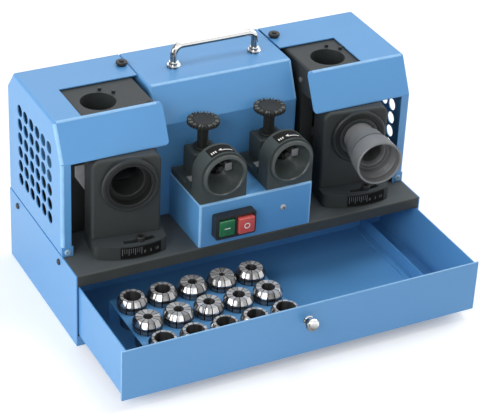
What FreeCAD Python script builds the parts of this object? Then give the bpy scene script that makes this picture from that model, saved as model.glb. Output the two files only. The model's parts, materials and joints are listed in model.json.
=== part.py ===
import FreeCAD, Part
import math
import os
import re
import Sketcher

# Two-station drill grinder: a cabinet with a collet drawer carries a base plate,
# two grinding heads under sheet guards, and a control box with two setting stations.
# The origin is the middle of the cabinet's footprint on the bench.
# X runs to the right, Y to the back and Z up. A "setback" is measured from the cabinet's front.

Vector = FreeCAD.Vector
Rotation = FreeCAD.Rotation

# Driving sizes, in millimetres and degrees
SIZES = {
    # Cabinet and base plate
    "width": 520,
    "depth": 245,
    "skin": 1.5,
    "cabinet_height": 110,
    "plate_thickness": 16,
    "plate_edge_radius": 2,
    "sill_height": 15,
    "screw_radius": 2,
    "screw_head_radius": 4.5,
    "screw_head_height": 2.2,
    "screw_depth": 9,
    "hole_clearance": 0.1,
    "cabinet_screw_drop": 13,
    "cabinet_screw_front": 61,
    "cabinet_screw_rear": 214,
    # Sheet guards over the heads
    "top_rise": 91.5,
    "guard_setback": 50,
    "kink_rise": 41.5,
    "brow_setback": 76,
    "bevel_setback": 222,
    "bevel_rise": 63.5,
    "bend_radius": 4,
    "guard_seam": 3,
    "lip_height": 12,
    "seam_gap": 1,
    "leg_width": 13.5,
    "foot_width": 16,
    "foot_height": 14,
    "foot_screw_height": 6.5,
    "lug_depth": 9,
    "lug_inset": 3,
    "brow_lip": 2.6,
    "notch_rear": 156.6,
    "left_notch_inset": 39.5,
    "right_notch_inset": 66.7,
    "strip_corner": 6,
    "vent_pitch": 21.2,
    "vent_radius": 8.7,
    "vent_setback": 92,
    "vent_drop": 59.5,
    # Thumb knobs that hold the guards to the centre cover
    "guard_knob_offset": 9,
    "guard_knob_setback": 190,
    "guard_knob_radius": 7,
    "guard_knob_height": 11,
    "stud_radius": 3,
    "stud_length": 14,
    "tab_reach": 21,
    "tab_length": 30,
    # Centre cover, carrying handle and power inlet
    "cover_gap": 64,
    "cover_setback": 97,
    "cover_brow_setback": 121,
    "handle_offset": 8.5,
    "handle_spacing": 122,
    "handle_setback": 160,
    "handle_rise": 31,
    "handle_radius": 5,
    "handle_bend": 12,
    "collar_radius": 9.5,
    "collar_height": 4,
    "collar_step": 2.5,
    "inlet_offset": 55,
    "inlet_height": 140,
    "inlet_width": 28,
    "inlet_tall": 21,
    "inlet_flange": 4,
    "inlet_depth": 22,
    "inlet_wall": 2,
    # Control box and its switch
    "box_half": 84,
    "box_setback": 1,
    "box_height": 66,
    "box_radius": 2.5,
    "switch_left": 66,
    "switch_right": 6.5,
    "switch_rise": 14.5,
    "switch_tall": 34.5,
    "switch_reach": 13,
    "switch_wall": 3.5,
    "switch_margin": 4.5,
    "switch_corner": 3,
    "button_gap": 4,
    "button_slack": 0.4,
    "button_travel": 3,
    "start_reach": 2,
    "stop_reach": 5,
    "button_round": 1,
    "button_body": 12,
    "box_screw_offset": 41,
    "box_screw_rise": 35,
    # Setting stations on the control box
    "station_offset": 49.5,
    "station_width": 68,
    "station_setback": 3,
    "station_base": 9,
    "station_length": 90,
    "arch_depth": 27,
    "socket_rise": 38,
    "socket_hub_radius": 28,
    "socket_rim_radius": 31.5,
    "socket_mouth_radius": 27,
    "socket_tail_radius": 10,
    "socket_reach": 5,
    "socket_chamfer": 1,
    "boss_width": 12,
    "boss_depth": 14,
    "boss_height": 10,
    "upright_setback": 54,
    "upright_depth": 32,
    "upright_width": 40,
    "upright_rise": 46,
    "stop_width": 12,
    "stop_thickness": 4,
    "stop_tall": 24,
    "post_radius": 8.5,
    "post_height": 30,
    "post_ribs": 6,
    "post_rib_depth": 1,
    "dial_radius": 23,
    "dial_height": 13,
    "dial_chamfer": 3,
    "dial_screw_radius": 5,
    "dial_screw_length": 20,
    "dial_screw_room": 1,
    "dial_lift": 0.3,
    # Grinding heads
    "head_middle": 1,
    "head_inset": 89,
    "head_width": 112,
    "head_setback": 101,
    "head_rear": 221,
    "head_drop": 3,
    "shoulder_drop": 15,
    "hood_setback": 78.5,
    "hood_rear": 165,
    "hood_rise": 47.5,
    "hood_radius": 4,
    "axle_setback": 166,
    "axle_height": 208.5,
    "chamber_radius": 50,
    "chamber_wall": 12,
    "shaft_hole_radius": 12,
    "window_width": 68,
    "window_tall": 60,
    "top_port_radius": 24,
    "top_port_offset": 13,
    "top_port_setback": 112,
    "top_port_relief": 2,
    "index_pin_radius": 2.5,
    "index_pin_rise": 4,
    "index_pin_depth": 8,
    "index_pin_angle": 64,
    "index_pin_spread": 37,
    "index_pin_circle": 31,
    "head_screw_setback": 105,
    "head_screw_rise": 18,
    "head_screw_radius": 3.5,
    "wheel_cover_radius": 59,
    "wheel_cover_thickness": 4,
    "wheel_cover_screw_circle": 54.5,
    "wheel_cover_screw_head": 3.4,
    "bracket_inset": 5.5,
    "bracket_width": 16.5,
    "bracket_tip": 3,
    "bracket_rise": 4.5,
    "bracket_shoulder": 16,
    "bracket_length": 39,
    "bracket_thickness": 2,
    # Swivelling port blocks in front of the heads
    "pivot_offset": 10,
    "pivot_setback": 121,
    "pivot_radius": 6,
    "pivot_fit": 0.05,
    "pivot_sink": 14,
    "pivot_proud": 1,
    "port_angle": 8,
    "port_left": 48.5,
    "port_right": 46,
    "port_shift": 2.5,
    "port_front": 82,
    "port_cheek": 46,
    "port_tail": 32,
    "port_tail_half": 20,
    "port_rise": 39,
    "port_corner": 12,
    "port_edge": 4,
    "sole_radius": 111,
    "sole_left": 49,
    "sole_right": 50,
    "sole_corner": 8,
    "sole_thickness": 20,
    "sole_lift": 0.3,
    "tongue_half": 14,
    "tongue_thickness": 12,
    "recess_half": 26,
    "recess_rear": 142,
    "recess_height": 16,
    "slot_radius": 100,
    "slot_width": 7,
    "slot_middle": 7,
    "slot_sweep": 25,
    "lock_radius": 3,
    "lock_head_radius": 6,
    "lock_head_height": 6,
    "lock_sink": 12,
    "scale_from": -8.5,
    "scale_sweep": 29.5,
    "scale_margin": 2,
    "scale_thickness": 1,
    "scale_gap": 0.1,
    "bush_rim_radius": 39,
    "bush_rim_height": 7,
    "bush_hub_radius": 35.5,
    "bush_length": 45,
    "bush_chamfer": 2,
    "bush_mouth_radius": 29.5,
    "bush_mouth_depth": 14,
    # Drill chuck standing in the right port
    "chuck_radius": 22,
    "chuck_fit": 0.05,
    "chuck_bore": 16,
    "chuck_chamfer": 1,
    "chuck_mouth_width": 3,
    "chuck_mouth_depth": 5,
    "chuck_insert": 51,
    "chuck_neck": 20,
    "chuck_collar_radius": 28.9,
    "chuck_collar_thickness": 13,
    "chuck_collar_gap": 0.3,
    "nut_length": 54,
    "nut_radius": 29,
    "nut_rim_radius": 32,
    "nut_wall": 3,
    "nut_chamfer": 1.5,
    "nut_step": 1,
    "nut_thread_length": 24,
    "nut_groove_place": 24,
    "nut_groove_depth": 1,
    "nut_groove_width": 1.5,
    # Motor, shaft and grinding wheels
    "motor_radius": 55,
    "bell_gap": 15,
    "bell_radius": 46,
    "bell_length": 17,
    "stator_bore": 39.5,
    "stator_inset": 15,
    "rotor_radius": 38.5,
    "rotor_half": 30,
    "motor_foot_inset": 15,
    "motor_foot_depth": 80,
    "bearing_radius": 17.5,
    "bearing_width": 11,
    "shaft_radius": 7.5,
    "shaft_fit": 0.05,
    "shaft_overhang": 36,
    "wheel_offset": 6,
    "wheel_radius": 45,
    "wheel_thickness": 24,
    "wheel_edge": 8,
    "wheel_recess": 4,
    "wheel_hub_radius": 20,
    "flange_radius": 18,
    "flange_thickness": 4,
    "nut_height": 8,
    "shaft_nut_radius": 12,
    # Drawer, collet rack and collets
    "drawer_open": 151,
    "drawer_gap": 3.2,
    "drawer_length": 241.5,
    "drawer_bottom": 18,
    "drawer_top": 93,
    "front_overhang": 2,
    "front_thickness": 2,
    "front_overlap": 1,
    "front_corner": 1.5,
    "runner_width": 14,
    "runner_drop": 14,
    "runner_gap": 0.3,
    "pull_offset": 2,
    "pull_height": 69,
    "pull_radius": 9.5,
    "pull_reach": 16,
    "pull_neck": 4,
    "pull_tail": 5,
    "divider_inset": 45.3,
    "divider_flange": 11,
    "divider_tall": 21,
    "rack_height": 48,
    "rack_inset": 50.3,
    "rack_margin": 22,
    "rack_rear": 17,
    "rack_row_margin": 25.5,
    "collet_pitch": 44,
    "row_pitch": 51,
    "collet_top": 66,
    "collet_length": 44,
    "collet_face_radius": 16.5,
    "collet_radius": 20.3,
    "collet_nose": 6.6,
    "collet_land": 2.2,
    "collet_groove": 3,
    "collet_groove_radius": 17.6,
    "collet_tail_radius": 15.8,
    "collet_seat_gap": 0.3,
    "rear_collet_bore": 11.5,
    "middle_collet_bore": 7,
    "front_collet_bore": 12.5,
}

# Sizes that follow from the driving ones
FORMULAS = {
    "kink_height": "axle_height + kink_rise",
    "top_height": "axle_height + top_rise",
    "bevel_height": "axle_height + bevel_rise",
    "vent_height": "axle_height - vent_drop",
    "hood_bottom": "axle_height + hood_rise",
    "head_top": "top_height - head_drop",
    "head_shoulder": "top_height - shoulder_drop",
    "head_screw_height": "hood_bottom + head_screw_rise",
    "port_top": "axle_height + port_rise",
    "head_spacing": "width - 2 * head_inset",
    "cover_half": "head_spacing / 2 - cover_gap",
    "left_notch_edge": "width / 2 - left_notch_inset",
    "right_notch_edge": "width / 2 - right_notch_inset",
    "bell_half": "cover_half - bell_gap",
    "motor_half": "bell_half - bell_length",
    "stator_half": "motor_half - stator_inset",
    "motor_foot_half": "motor_half - motor_foot_inset",
    "drawer_half": "width / 2 - drawer_gap",
    "front_half": "width / 2 + front_overhang",
    "divider_offset": "drawer_half - divider_inset",
    "rack_left": "drawer_half - rack_inset",
}

VENT_COUNT = 6
COLLETS_PER_ROW = 5

document = FreeCAD.newDocument("drill_grinder")
sheet = document.addObject("Spreadsheet::Sheet", "Sizes")
cells = {alias: str(value) for alias, value in SIZES.items()}
cells.update({alias: f"={formula}" for alias, formula in FORMULAS.items()})
for row, (alias, content) in enumerate(cells.items(), start=1):
    sheet.set(f"A{row}", alias)
    sheet.set(f"B{row}", content)
    sheet.setAlias(f"B{row}", alias)
document.recompute()

pieces = []


def linked(formula):
    """A formula in size names, as an expression on the sheet's cells."""
    return re.sub(r"[a-z_]+", lambda m: f"Sizes.{m[0]}" if m[0] in cells else m[0], str(formula))


def number(formula):
    """What a formula comes to now."""
    return float(sheet.evalExpression(linked(formula)))


def back(setback):
    """The Y of a place given by its setback from the cabinet's front."""
    return f"{setback} - depth / 2"


def span(side, near, far):
    """Low and high X of a stretch on one side, from near to far of the middle."""
    if side > 0:
        return near, far
    return f"-({far})", f"-({near})"


def rectangle(left, right, low, high):
    return [(left, low), (right, low), (right, high), (left, high)]


# Building blocks: bodies, sketches, pads, pockets, revolved profiles and rounded edges


def new_piece(label):
    body = document.addObject("PartDesign::Body", label)
    body.Label = label
    body.AllowCompound = True
    pieces.append(body)
    return body


def place(body, x="0", y="0", z="0", axis=Vector(0, 0, 1), angle="0"):
    """Set a body in its place, turned about one axis."""
    body.Placement = FreeCAD.Placement(Vector(), Rotation(axis, number(angle)))
    if number(angle):
        body.setExpression("Placement.Rotation.Angle", linked(angle))
    for name, formula in zip("xyz", (x, y, z)):
        body.setExpression(f"Placement.Base.{name}", linked(formula))


def lay_along(body, direction, x, y, z):
    """Set a turned piece with its own axis along X, or forwards along -Y."""
    axis = Vector(0, 1, 0) if direction == "x" else Vector(1, 0, 0)
    place(body, x, y, z, axis, "90")


def new_sketch(body, axis, level):
    """A sketch square to an axis, at a level along it."""
    role = {"x": "YZ_Plane", "y": "XZ_Plane", "z": "XY_Plane"}[axis]
    sketch = body.newObject("Sketcher::SketchObject", f"{body.Label}_sketch")
    plane = next(item for item in body.Origin.OriginFeatures if item.Role == role)
    sketch.AttachmentSupport = [(plane, "")]
    sketch.MapMode = "FlatFace"
    sign = "-1" if axis == "y" else "1"
    sketch.setExpression("AttachmentOffset.Base.z", linked(f"{sign} * ({level})"))
    return sketch


def pin(sketch, kind, element, point, formula):
    """Hold one coordinate of a point at a formula's value."""
    constraint = Sketcher.Constraint(kind, -1, 1, element, point, number(formula))
    index = sketch.addConstraint(constraint)
    sketch.setExpression(f"Constraints[{index}]", linked(formula))


def draw_outline(sketch, points):
    """A closed outline of straight lines through points given as formulas."""
    first = sketch.GeometryCount
    count = len(points)
    places = [Vector(number(x), number(y), 0) for x, y in points]
    for index in range(count):
        sketch.addGeometry(Part.LineSegment(places[index], places[(index + 1) % count]))
    for index in range(count):
        following = first + (index + 1) % count
        sketch.addConstraint(Sketcher.Constraint("Coincident", first + index, 2, following, 1))
    for index, (x, y) in enumerate(points):
        pin(sketch, "DistanceX", first + index, 1, x)
        pin(sketch, "DistanceY", first + index, 1, y)


def draw_circle(sketch, x, y, radius):
    element = sketch.GeometryCount
    middle = Vector(number(x), number(y), 0)
    sketch.addGeometry(Part.Circle(middle, Vector(0, 0, 1), number(radius)))
    pin(sketch, "DistanceX", element, 3, x)
    pin(sketch, "DistanceY", element, 3, y)
    index = sketch.addConstraint(Sketcher.Constraint("Radius", element, number(radius)))
    sketch.setExpression(f"Constraints[{index}]", linked(radius))


def grow(body, axis, low, high, outlines=(), circles=()):
    """Pad outlines and circles from one level to another along an axis."""
    sketch = new_sketch(body, axis, high if axis == "y" else low)
    for outline in outlines:
        draw_outline(sketch, outline)
    for circle in circles:
        draw_circle(sketch, *circle)
    pad = body.newObject("PartDesign::Pad", f"{body.Label}_pad")
    pad.Profile = sketch
    pad.setExpression("Length", linked(f"({high}) - ({low})"))
    return pad


def carve(body, axis, low, high, outlines=(), circles=()):
    """Pocket outlines and circles from one level to another along an axis."""
    sketch = new_sketch(body, axis, low if axis == "y" else high)
    for outline in outlines:
        draw_outline(sketch, outline)
    for circle in circles:
        draw_circle(sketch, *circle)
    pocket = body.newObject("PartDesign::Pocket", f"{body.Label}_pocket")
    pocket.Profile = sketch
    pocket.setExpression("Length", linked(f"({high}) - ({low})"))
    return pocket


def revolve(body, profile, sweep="360", start="0", cut=False):
    """Turn a profile of (radius, height) points about the body's own Z axis."""
    sketch = new_sketch(body, "y", "0")
    if number(start):
        sketch.AttachmentOffset = FreeCAD.Placement(Vector(), Rotation(Vector(0, 1, 0), number(start)))
        sketch.setExpression("AttachmentOffset.Rotation.Angle", linked(start))
    draw_outline(sketch, profile)
    kind = "Groove" if cut else "Revolution"
    turned = body.newObject(f"PartDesign::{kind}", f"{body.Label}_turned")
    turned.Profile = sketch
    turned.ReferenceAxis = (sketch, ["V_Axis"])
    turned.setExpression("Angle", linked(sweep))
    return turned


def round_edges(body, radius, wanted):
    """Fillet the edges of the body's last feature that a test picks out."""
    document.recompute()
    base = body.Tip
    names = [f"Edge{i}" for i, edge in enumerate(base.Shape.Edges, start=1) if wanted(edge)]
    fillet = body.newObject("PartDesign::Fillet", f"{body.Label}_rounding")
    fillet.Base = (base, names)
    fillet.setExpression("Radius", linked(radius))
    return fillet


def shell_out(body, wanted):
    """Hollow the body to sheet thickness, open at the faces that a test picks out."""
    document.recompute()
    base = body.Tip
    names = [f"Face{i}" for i, face in enumerate(base.Shape.Faces, start=1) if wanted(face)]
    shell = body.newObject("PartDesign::Thickness", f"{body.Label}_shell")
    shell.Base = (base, names)
    shell.setExpression("Value", linked("skin"))
    shell.Reversed = True
    return shell


def runs_along(edge, axis):
    """Whether a straight edge runs along X, Y or Z."""
    if len(edge.Vertexes) < 2:
        return False
    step = edge.Vertexes[1].Point - edge.Vertexes[0].Point
    return near(abs(getattr(step, axis)), edge.Length)


def near(first, second):
    return abs(first - second) < 0.01


# Cabinet, base plate and runners


def make_cabinet():
    """Folded cabinet, open at the top and, above a low sill, at the front."""
    body = new_piece("cabinet_shell")
    sides = rectangle("-width / 2", "width / 2", "-depth / 2", "depth / 2")
    grow(body, "z", "0", "cabinet_height", [sides])
    inside = rectangle("skin - width / 2", "width / 2 - skin", "skin - depth / 2", "depth / 2 - skin")
    carve(body, "z", "skin", "cabinet_height", [inside])
    doorway = rectangle("skin - width / 2", "width / 2 - skin", "sill_height", "cabinet_height")
    carve(body, "y", "-depth / 2", back("2 * skin"), [doorway])
    level = "cabinet_height - cabinet_screw_drop"
    holes = [(back(name), level, "screw_radius + hole_clearance") for name in SCREW_SETBACKS]
    carve(body, "x", "-width / 2", "width / 2", circles=holes)


SCREW_SETBACKS = ("cabinet_screw_front", "cabinet_screw_rear")


def make_base_plate():
    """Thick plate between the cabinet's sides, with a lug behind each guard foot."""
    body = new_piece("base_plate")
    half = "width / 2 - skin"
    bottom = "cabinet_height - plate_thickness"
    plate = rectangle(f"-({half})", half, "-depth / 2", "depth / 2 - skin")
    grow(body, "z", bottom, "cabinet_height", [plate])
    front = number("-depth / 2")
    top = number("cabinet_height")
    round_edges(
        body,
        "plate_edge_radius",
        lambda edge: (runs_along(edge, "x") and near(edge.CenterOfMass.y, front)
                      and near(edge.CenterOfMass.z, top)),
    )
    lugs = []
    lug_front = back("guard_setback + skin")
    lug_rear = back("guard_setback + skin + lug_depth")
    for side in (-1, 1):
        inner, outer = span(side, "width / 2 - foot_width", "width / 2 - 2 * skin - lug_inset")
        lugs.append(rectangle(inner, outer, lug_front, lug_rear))
    grow(body, "z", "cabinet_height", "cabinet_height + foot_height", lugs)
    screw = "screw_radius + hole_clearance"
    lug_holes = [(f"{side} * (width / 2 - foot_width / 2)", FOOT_SCREW_LEVEL, screw) for side in (-1, 1)]
    carve(body, "y", lug_front, lug_rear, circles=lug_holes)
    side_holes = [(back(name), "cabinet_height - cabinet_screw_drop", screw) for name in SCREW_SETBACKS]
    for low, high in (span(-1, f"{half} - screw_depth", half), span(1, f"{half} - screw_depth", half)):
        carve(body, "x", low, high, circles=side_holes)
    for side in (-1, 1):
        x = f"{head_place(side)} + pivot_offset"
        pivot = (x, back("pivot_setback"), "pivot_radius + hole_clearance")
        carve(body, "z", "cabinet_height - pivot_sink", "cabinet_height", circles=[pivot])
        lock = (x, back("pivot_setback - slot_radius"), "lock_radius + hole_clearance")
        carve(body, "z", "cabinet_height - lock_sink", "cabinet_height", circles=[lock])


FOOT_SCREW_LEVEL = "cabinet_height + foot_screw_height"


def head_place(side):
    """The X of a head's middle."""
    return f"(head_middle + {side} * head_spacing / 2)"


def make_cabinet_screws():
    """Two screws a side, through the cabinet into the ends of the base plate."""
    body = new_piece("cabinet_screws")
    level = "cabinet_height - cabinet_screw_drop"
    heads = [(back(name), level, "screw_head_radius") for name in SCREW_SETBACKS]
    shanks = [(back(name), level, "screw_radius") for name in SCREW_SETBACKS]
    for side in (-1, 1):
        grow(body, "x", *span(side, "width / 2", "width / 2 + screw_head_height"), circles=heads)
        grow(body, "x", *span(side, "width / 2 - screw_depth", "width / 2"), circles=shanks)


def make_runners():
    """Angle rails on the cabinet's sides that the drawer slides on."""
    body = new_piece("drawer_runners")
    top = "drawer_bottom - runner_gap"
    outer = "width / 2 - skin"
    for side in (-1, 1):
        corner = [
            (outer, f"{top} - runner_drop"),
            (outer, top),
            (f"{outer} - runner_width", top),
            (f"{outer} - runner_width", f"{top} - skin"),
            (f"{outer} - skin", f"{top} - skin"),
            (f"{outer} - skin", f"{top} - runner_drop"),
        ]
        points = [(f"{side} * ({x})", z) for x, z in corner]
        grow(body, "y", back("2 * skin"), back("depth - 2 * skin"), [points])


# Sheet guards, centre cover, control box and handle


def cover_outline(front, brow, bottom):
    """Side view of a cover: upright front, sloped brow, flat top and bevelled back."""
    return [
        (back(front), bottom),
        (back(front), "kink_height"),
        (back(brow), "top_height"),
        (back("bevel_setback"), "top_height"),
        (back("depth"), "bevel_height"),
        (back("depth"), bottom),
    ]


def round_folds(body, outline, ends, floor):
    """Round a folded cover's bends, first inside and then outside."""
    corners = [(number(y), number(z)) for y, z in outline]

    def from_fold(edge):
        middle = edge.CenterOfMass
        if middle.z < floor + 1:
            return SIZES["width"]
        if runs_along(edge, "x"):
            return min(math.hypot(middle.y - y, middle.z - z) for y, z in corners)
        return min(abs(middle.x - end) for end in ends)

    skin = number("skin")
    round_edges(body, "bend_radius - skin", lambda edge: 0.5 * skin < from_fold(edge) < 1.5 * skin)
    round_edges(body, "bend_radius", lambda edge: from_fold(edge) < 0.01)


def make_guard(name, side, notch_edge):
    """Guard over one head, with a vented side, a notched top and an open front."""
    body = new_piece(name)
    inner = "cover_half + seam_gap"
    outer = "width / 2"
    bottom = "cabinet_height + guard_seam"
    outline = cover_outline("guard_setback", "brow_setback", bottom)
    grow(body, "x", *span(side, inner, outer), [outline])
    inner_face = side * number(inner)
    floor = number(bottom)
    shell_out(
        body,
        lambda face: near(face.CenterOfMass.x, inner_face) or near(face.CenterOfMass.z, floor),
    )
    round_folds(body, outline, [side * number(outer)], floor)
    opening = rectangle(*span(side, f"{inner} - 1", f"{outer} - leg_width"), bottom, "kink_height - skin")
    carve(body, "y", back("guard_setback - 1"), back("guard_setback + bend_radius"), [opening])
    notch = rectangle(
        *span(side, f"{inner} - 1", notch_edge), back("brow_setback + brow_lip"), back("notch_rear")
    )
    carve(body, "z", "top_height - bend_radius", "top_height + 1", [notch])
    vents = []
    for column in range(VENT_COUNT):
        for row in range(VENT_COUNT):
            y = back(f"vent_setback + {column} * vent_pitch")
            vents.append((y, f"vent_height + {row} * vent_pitch", "vent_radius"))
    carve(body, "x", *span(side, f"{outer} - 2 * skin", f"{outer} + 1"), circles=vents)
    lip = rectangle(back("guard_setback + 2 * skin"), back("depth - 2 * skin"), "cabinet_height",
                    "cabinet_height + lip_height")
    grow(body, "x", *span(side, f"{outer} - 2 * skin", f"{outer} - skin"), [lip])
    foot = rectangle(*span(side, f"{outer} - foot_width", outer), "cabinet_height",
                     "cabinet_height + foot_height")
    grow(body, "y", back("guard_setback"), back("guard_setback + skin"), [foot])
    screw = (f"{side} * ({outer} - foot_width / 2)", FOOT_SCREW_LEVEL, "screw_radius + hole_clearance")
    carve(body, "y", back("guard_setback - 1"), back("guard_setback + 2 * skin"), circles=[screw])
    stud = (guard_knob_x(side), back("guard_knob_setback"), "stud_radius + hole_clearance")
    carve(body, "z", "top_height - 2 * skin", "top_height + 1", circles=[stud])

    low_corner = corner_waste(f"{side} * ({inner})", "kink_height - skin", side, 1)
    high_corner = corner_waste(f"{side} * ({inner})", "top_height", side, -1)
    corners = [low_corner, high_corner]
    carve(body, "y", back("guard_setback - 1"), back("brow_setback + 2 * brow_lip"), corners)


def corner_waste(x, z, across, up):
    """What is cut from a corner to round it, given the ways along X and Z into the sheet."""
    points = [
        (f"{x} - {across}", f"{z} - {up}"),
        (f"{x} + {across} * strip_corner", f"{z} - {up}"),
    ]
    for angle in (90, 67.5, 45, 22.5, 0):
        points.append((f"{x} + {across} * strip_corner * (1 - cos({angle}))",
                       f"{z} + {up} * strip_corner * (1 - sin({angle}))"))
    points.append((f"{x} - {across}", f"{z} + {up} * strip_corner"))
    return points


def guard_knob_x(side):
    return f"{side} * (cover_half + guard_knob_offset)"


def make_foot_screws():
    """One screw through each guard's foot into the lug behind it."""
    body = new_piece("guard_foot_screws")
    places = [f"{side} * (width / 2 - foot_width / 2)" for side in (-1, 1)]
    heads = [(x, FOOT_SCREW_LEVEL, "screw_head_radius") for x in places]
    shanks = [(x, FOOT_SCREW_LEVEL, "screw_radius") for x in places]
    grow(body, "y", back("guard_setback - screw_head_height"), back("guard_setback"), circles=heads)
    grow(body, "y", back("guard_setback"), back("guard_setback + screw_depth"), circles=shanks)


def make_guard_knob(name, side):
    """Thumb knob whose stud passes through the guard into the centre cover's tab."""
    body = new_piece(name)
    waist = "0.6 * guard_knob_radius"
    revolve(body, [
        ("0", "-stud_length"),
        ("stud_radius", "-stud_length"),
        ("stud_radius", "runner_gap"),
        (waist, "runner_gap"),
        (waist, "0.35 * guard_knob_height"),
        ("guard_knob_radius", "0.45 * guard_knob_height"),
        ("guard_knob_radius", "0.85 * guard_knob_height"),
        ("0.8 * guard_knob_radius", "guard_knob_height"),
        ("0", "guard_knob_height"),
    ])
    place(body, guard_knob_x(side), back("guard_knob_setback"), "top_height")


def make_centre_cover():
    """Cover over the motor, with a tab under each guard for its thumb knob."""
    body = new_piece("centre_cover")
    outline = cover_outline("cover_setback", "cover_brow_setback", "cabinet_height")
    grow(body, "x", "-cover_half", "cover_half", [outline])
    floor = number("cabinet_height")
    half = number("cover_half")
    shell_out(body, lambda face: near(face.CenterOfMass.z, floor))
    round_folds(body, outline, [-half, half], floor)
    shaft = (back("axle_setback"), "axle_height", "shaft_hole_radius")
    carve(body, "x", "-cover_half - 1", "cover_half + 1", circles=[shaft])
    bolts = [(x, back("handle_setback"), "screw_radius + hole_clearance") for x in HANDLE_FEET]
    carve(body, "z", "top_height - 2 * skin", "top_height + 1", circles=bolts)
    cutout = rectangle("inlet_offset - inlet_width / 2", "inlet_offset + inlet_width / 2",
                       "inlet_height - inlet_tall / 2", "inlet_height + inlet_tall / 2")
    carve(body, "y", back("depth - 2 * skin"), back("depth + 1"), [cutout])
    for side in (-1, 1):
        tab_front = back("guard_knob_setback - tab_length / 2")
        tab_rear = back("guard_knob_setback + tab_length / 2")
        tab = rectangle(*span(side, "cover_half - 2 * skin", "cover_half + tab_reach"), tab_front, tab_rear)
        grow(body, "z", "top_height - 3 * skin", "top_height - 2 * skin", [tab])
    stud = (back("guard_knob_setback"), "stud_radius + hole_clearance")
    studs = [(guard_knob_x(side), *stud) for side in (-1, 1)]
    carve(body, "z", "top_height - 4 * skin", "top_height - skin", circles=studs)


HANDLE_FEET = ("handle_offset - handle_spacing / 2", "handle_offset + handle_spacing / 2")


def make_handle():
    """Bent round bar with a bolt into each leg through the centre cover's top."""
    leg = "handle_rise - handle_bend"
    foot_level = "top_height"
    bars = []
    for x in HANDLE_FEET:
        bar = document.addObject("Part::Cylinder", "handle_leg")
        bar.setExpression("Radius", linked("handle_radius"))
        bar.setExpression("Height", linked(leg))
        place(bar, x, back("handle_setback"), foot_level)
        bars.append(bar)
    top = document.addObject("Part::Cylinder", "handle_top")
    top.setExpression("Radius", linked("handle_radius"))
    top.setExpression("Height", linked("handle_spacing - 2 * handle_bend"))
    crest = f"{foot_level} + handle_rise"
    lay_along(top, "x", f"{HANDLE_FEET[0]} + handle_bend", back("handle_setback"), crest)
    bars.append(top)
    for foot, inward, turn in ((HANDLE_FEET[0], 1, 90), (HANDLE_FEET[1], -1, 0)):
        bend = document.addObject("Part::Torus", "handle_bend_piece")
        bend.setExpression("Radius1", linked("handle_bend"))
        bend.setExpression("Radius2", linked("handle_radius"))
        bend.Angle3 = 90
        upright = Rotation(Vector(1, 0, 0), 90).multiply(Rotation(Vector(0, 0, 1), turn))
        bend.Placement = FreeCAD.Placement(Vector(), upright)
        spot = (f"{foot} + {inward} * handle_bend", back("handle_setback"), f"{foot_level} + {leg}")
        for axis, formula in zip("xyz", spot):
            bend.setExpression(f"Placement.Base.{axis}", linked(formula))
        bars.append(bend)
    handle = document.addObject("Part::MultiFuse", "carry_handle")
    handle.Label = "carry_handle"
    handle.Shapes = bars
    handle.Refine = True
    pieces.append(handle)


def make_handle_collars():
    """Stepped collar round the foot of each handle leg."""
    body = new_piece("handle_collars")
    lower = [(x, back("handle_setback"), "collar_radius") for x in HANDLE_FEET]
    upper = [(x, back("handle_setback"), "collar_radius - collar_step") for x in HANDLE_FEET]
    holes = [(x, back("handle_setback"), "handle_radius + hole_clearance") for x in HANDLE_FEET]
    grow(body, "z", "top_height", "top_height + collar_height", circles=lower)
    grow(body, "z", "top_height + collar_height", "top_height + 2 * collar_height", circles=upper)
    carve(body, "z", "top_height", "top_height + 2 * collar_height", circles=holes)


def make_inlet():
    """Flanged power inlet in the back of the centre cover, with three contact pins."""
    body = new_piece("power_inlet")
    half_wide = "inlet_width / 2 - hole_clearance"
    half_tall = "inlet_tall / 2 - hole_clearance"

    def window(extra):
        wide = f"({half_wide} + {extra})"
        tall = f"({half_tall} + {extra})"
        return rectangle(f"inlet_offset - {wide}", f"inlet_offset + {wide}",
                         f"inlet_height - {tall}", f"inlet_height + {tall}")

    grow(body, "y", back("depth - inlet_depth"), back("depth"), [window("0")])
    grow(body, "y", back("depth"), back("depth + inlet_wall"), [window("inlet_flange")])
    carve(body, "y", back("depth - inlet_depth + inlet_wall"), back("depth + inlet_wall"),
          [window("-1 * inlet_wall")])
    pins = [(f"inlet_offset + {column} * inlet_width / 4", "inlet_height", "screw_radius / 2")
            for column in (-1, 0, 1)]
    grow(body, "y", back("depth - inlet_depth"), back("depth - inlet_wall"), circles=pins)


def make_control_box():
    """Folded box in front of the centre cover, cut out for the switch."""
    body = new_piece("control_box")
    plan = rectangle("-box_half", "box_half", back("box_setback"), back("cover_setback"))
    grow(body, "z", "cabinet_height", BOX_TOP, [plan])
    floor = number("cabinet_height")
    rear = number(back("cover_setback"))
    round_edges(
        body,
        "box_radius",
        lambda edge: edge.CenterOfMass.z > floor + 1 and edge.CenterOfMass.y < rear - 1,
    )
    shell_out(body, lambda face: near(face.CenterOfMass.z, floor) or near(face.CenterOfMass.y, rear))
    cutout = switch_window("-1 * switch_wall / 2")
    carve(body, "y", back("box_setback - 1"), back("box_setback + 2 * skin"), [cutout])
    screw = ("box_screw_offset", "cabinet_height + box_screw_rise", "screw_radius + hole_clearance")
    carve(body, "y", back("box_setback - 1"), back("box_setback + 2 * skin"), circles=[screw])


BOX_TOP = "cabinet_height + box_height"


def switch_window(extra):
    """Front view of the switch housing, grown on every side by an extra width."""
    low = "cabinet_height + switch_rise"
    return rectangle(f"-switch_left - ({extra})", f"-switch_right + {extra}",
                     f"{low} - ({extra})", f"{low} + switch_tall + {extra}")


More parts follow.
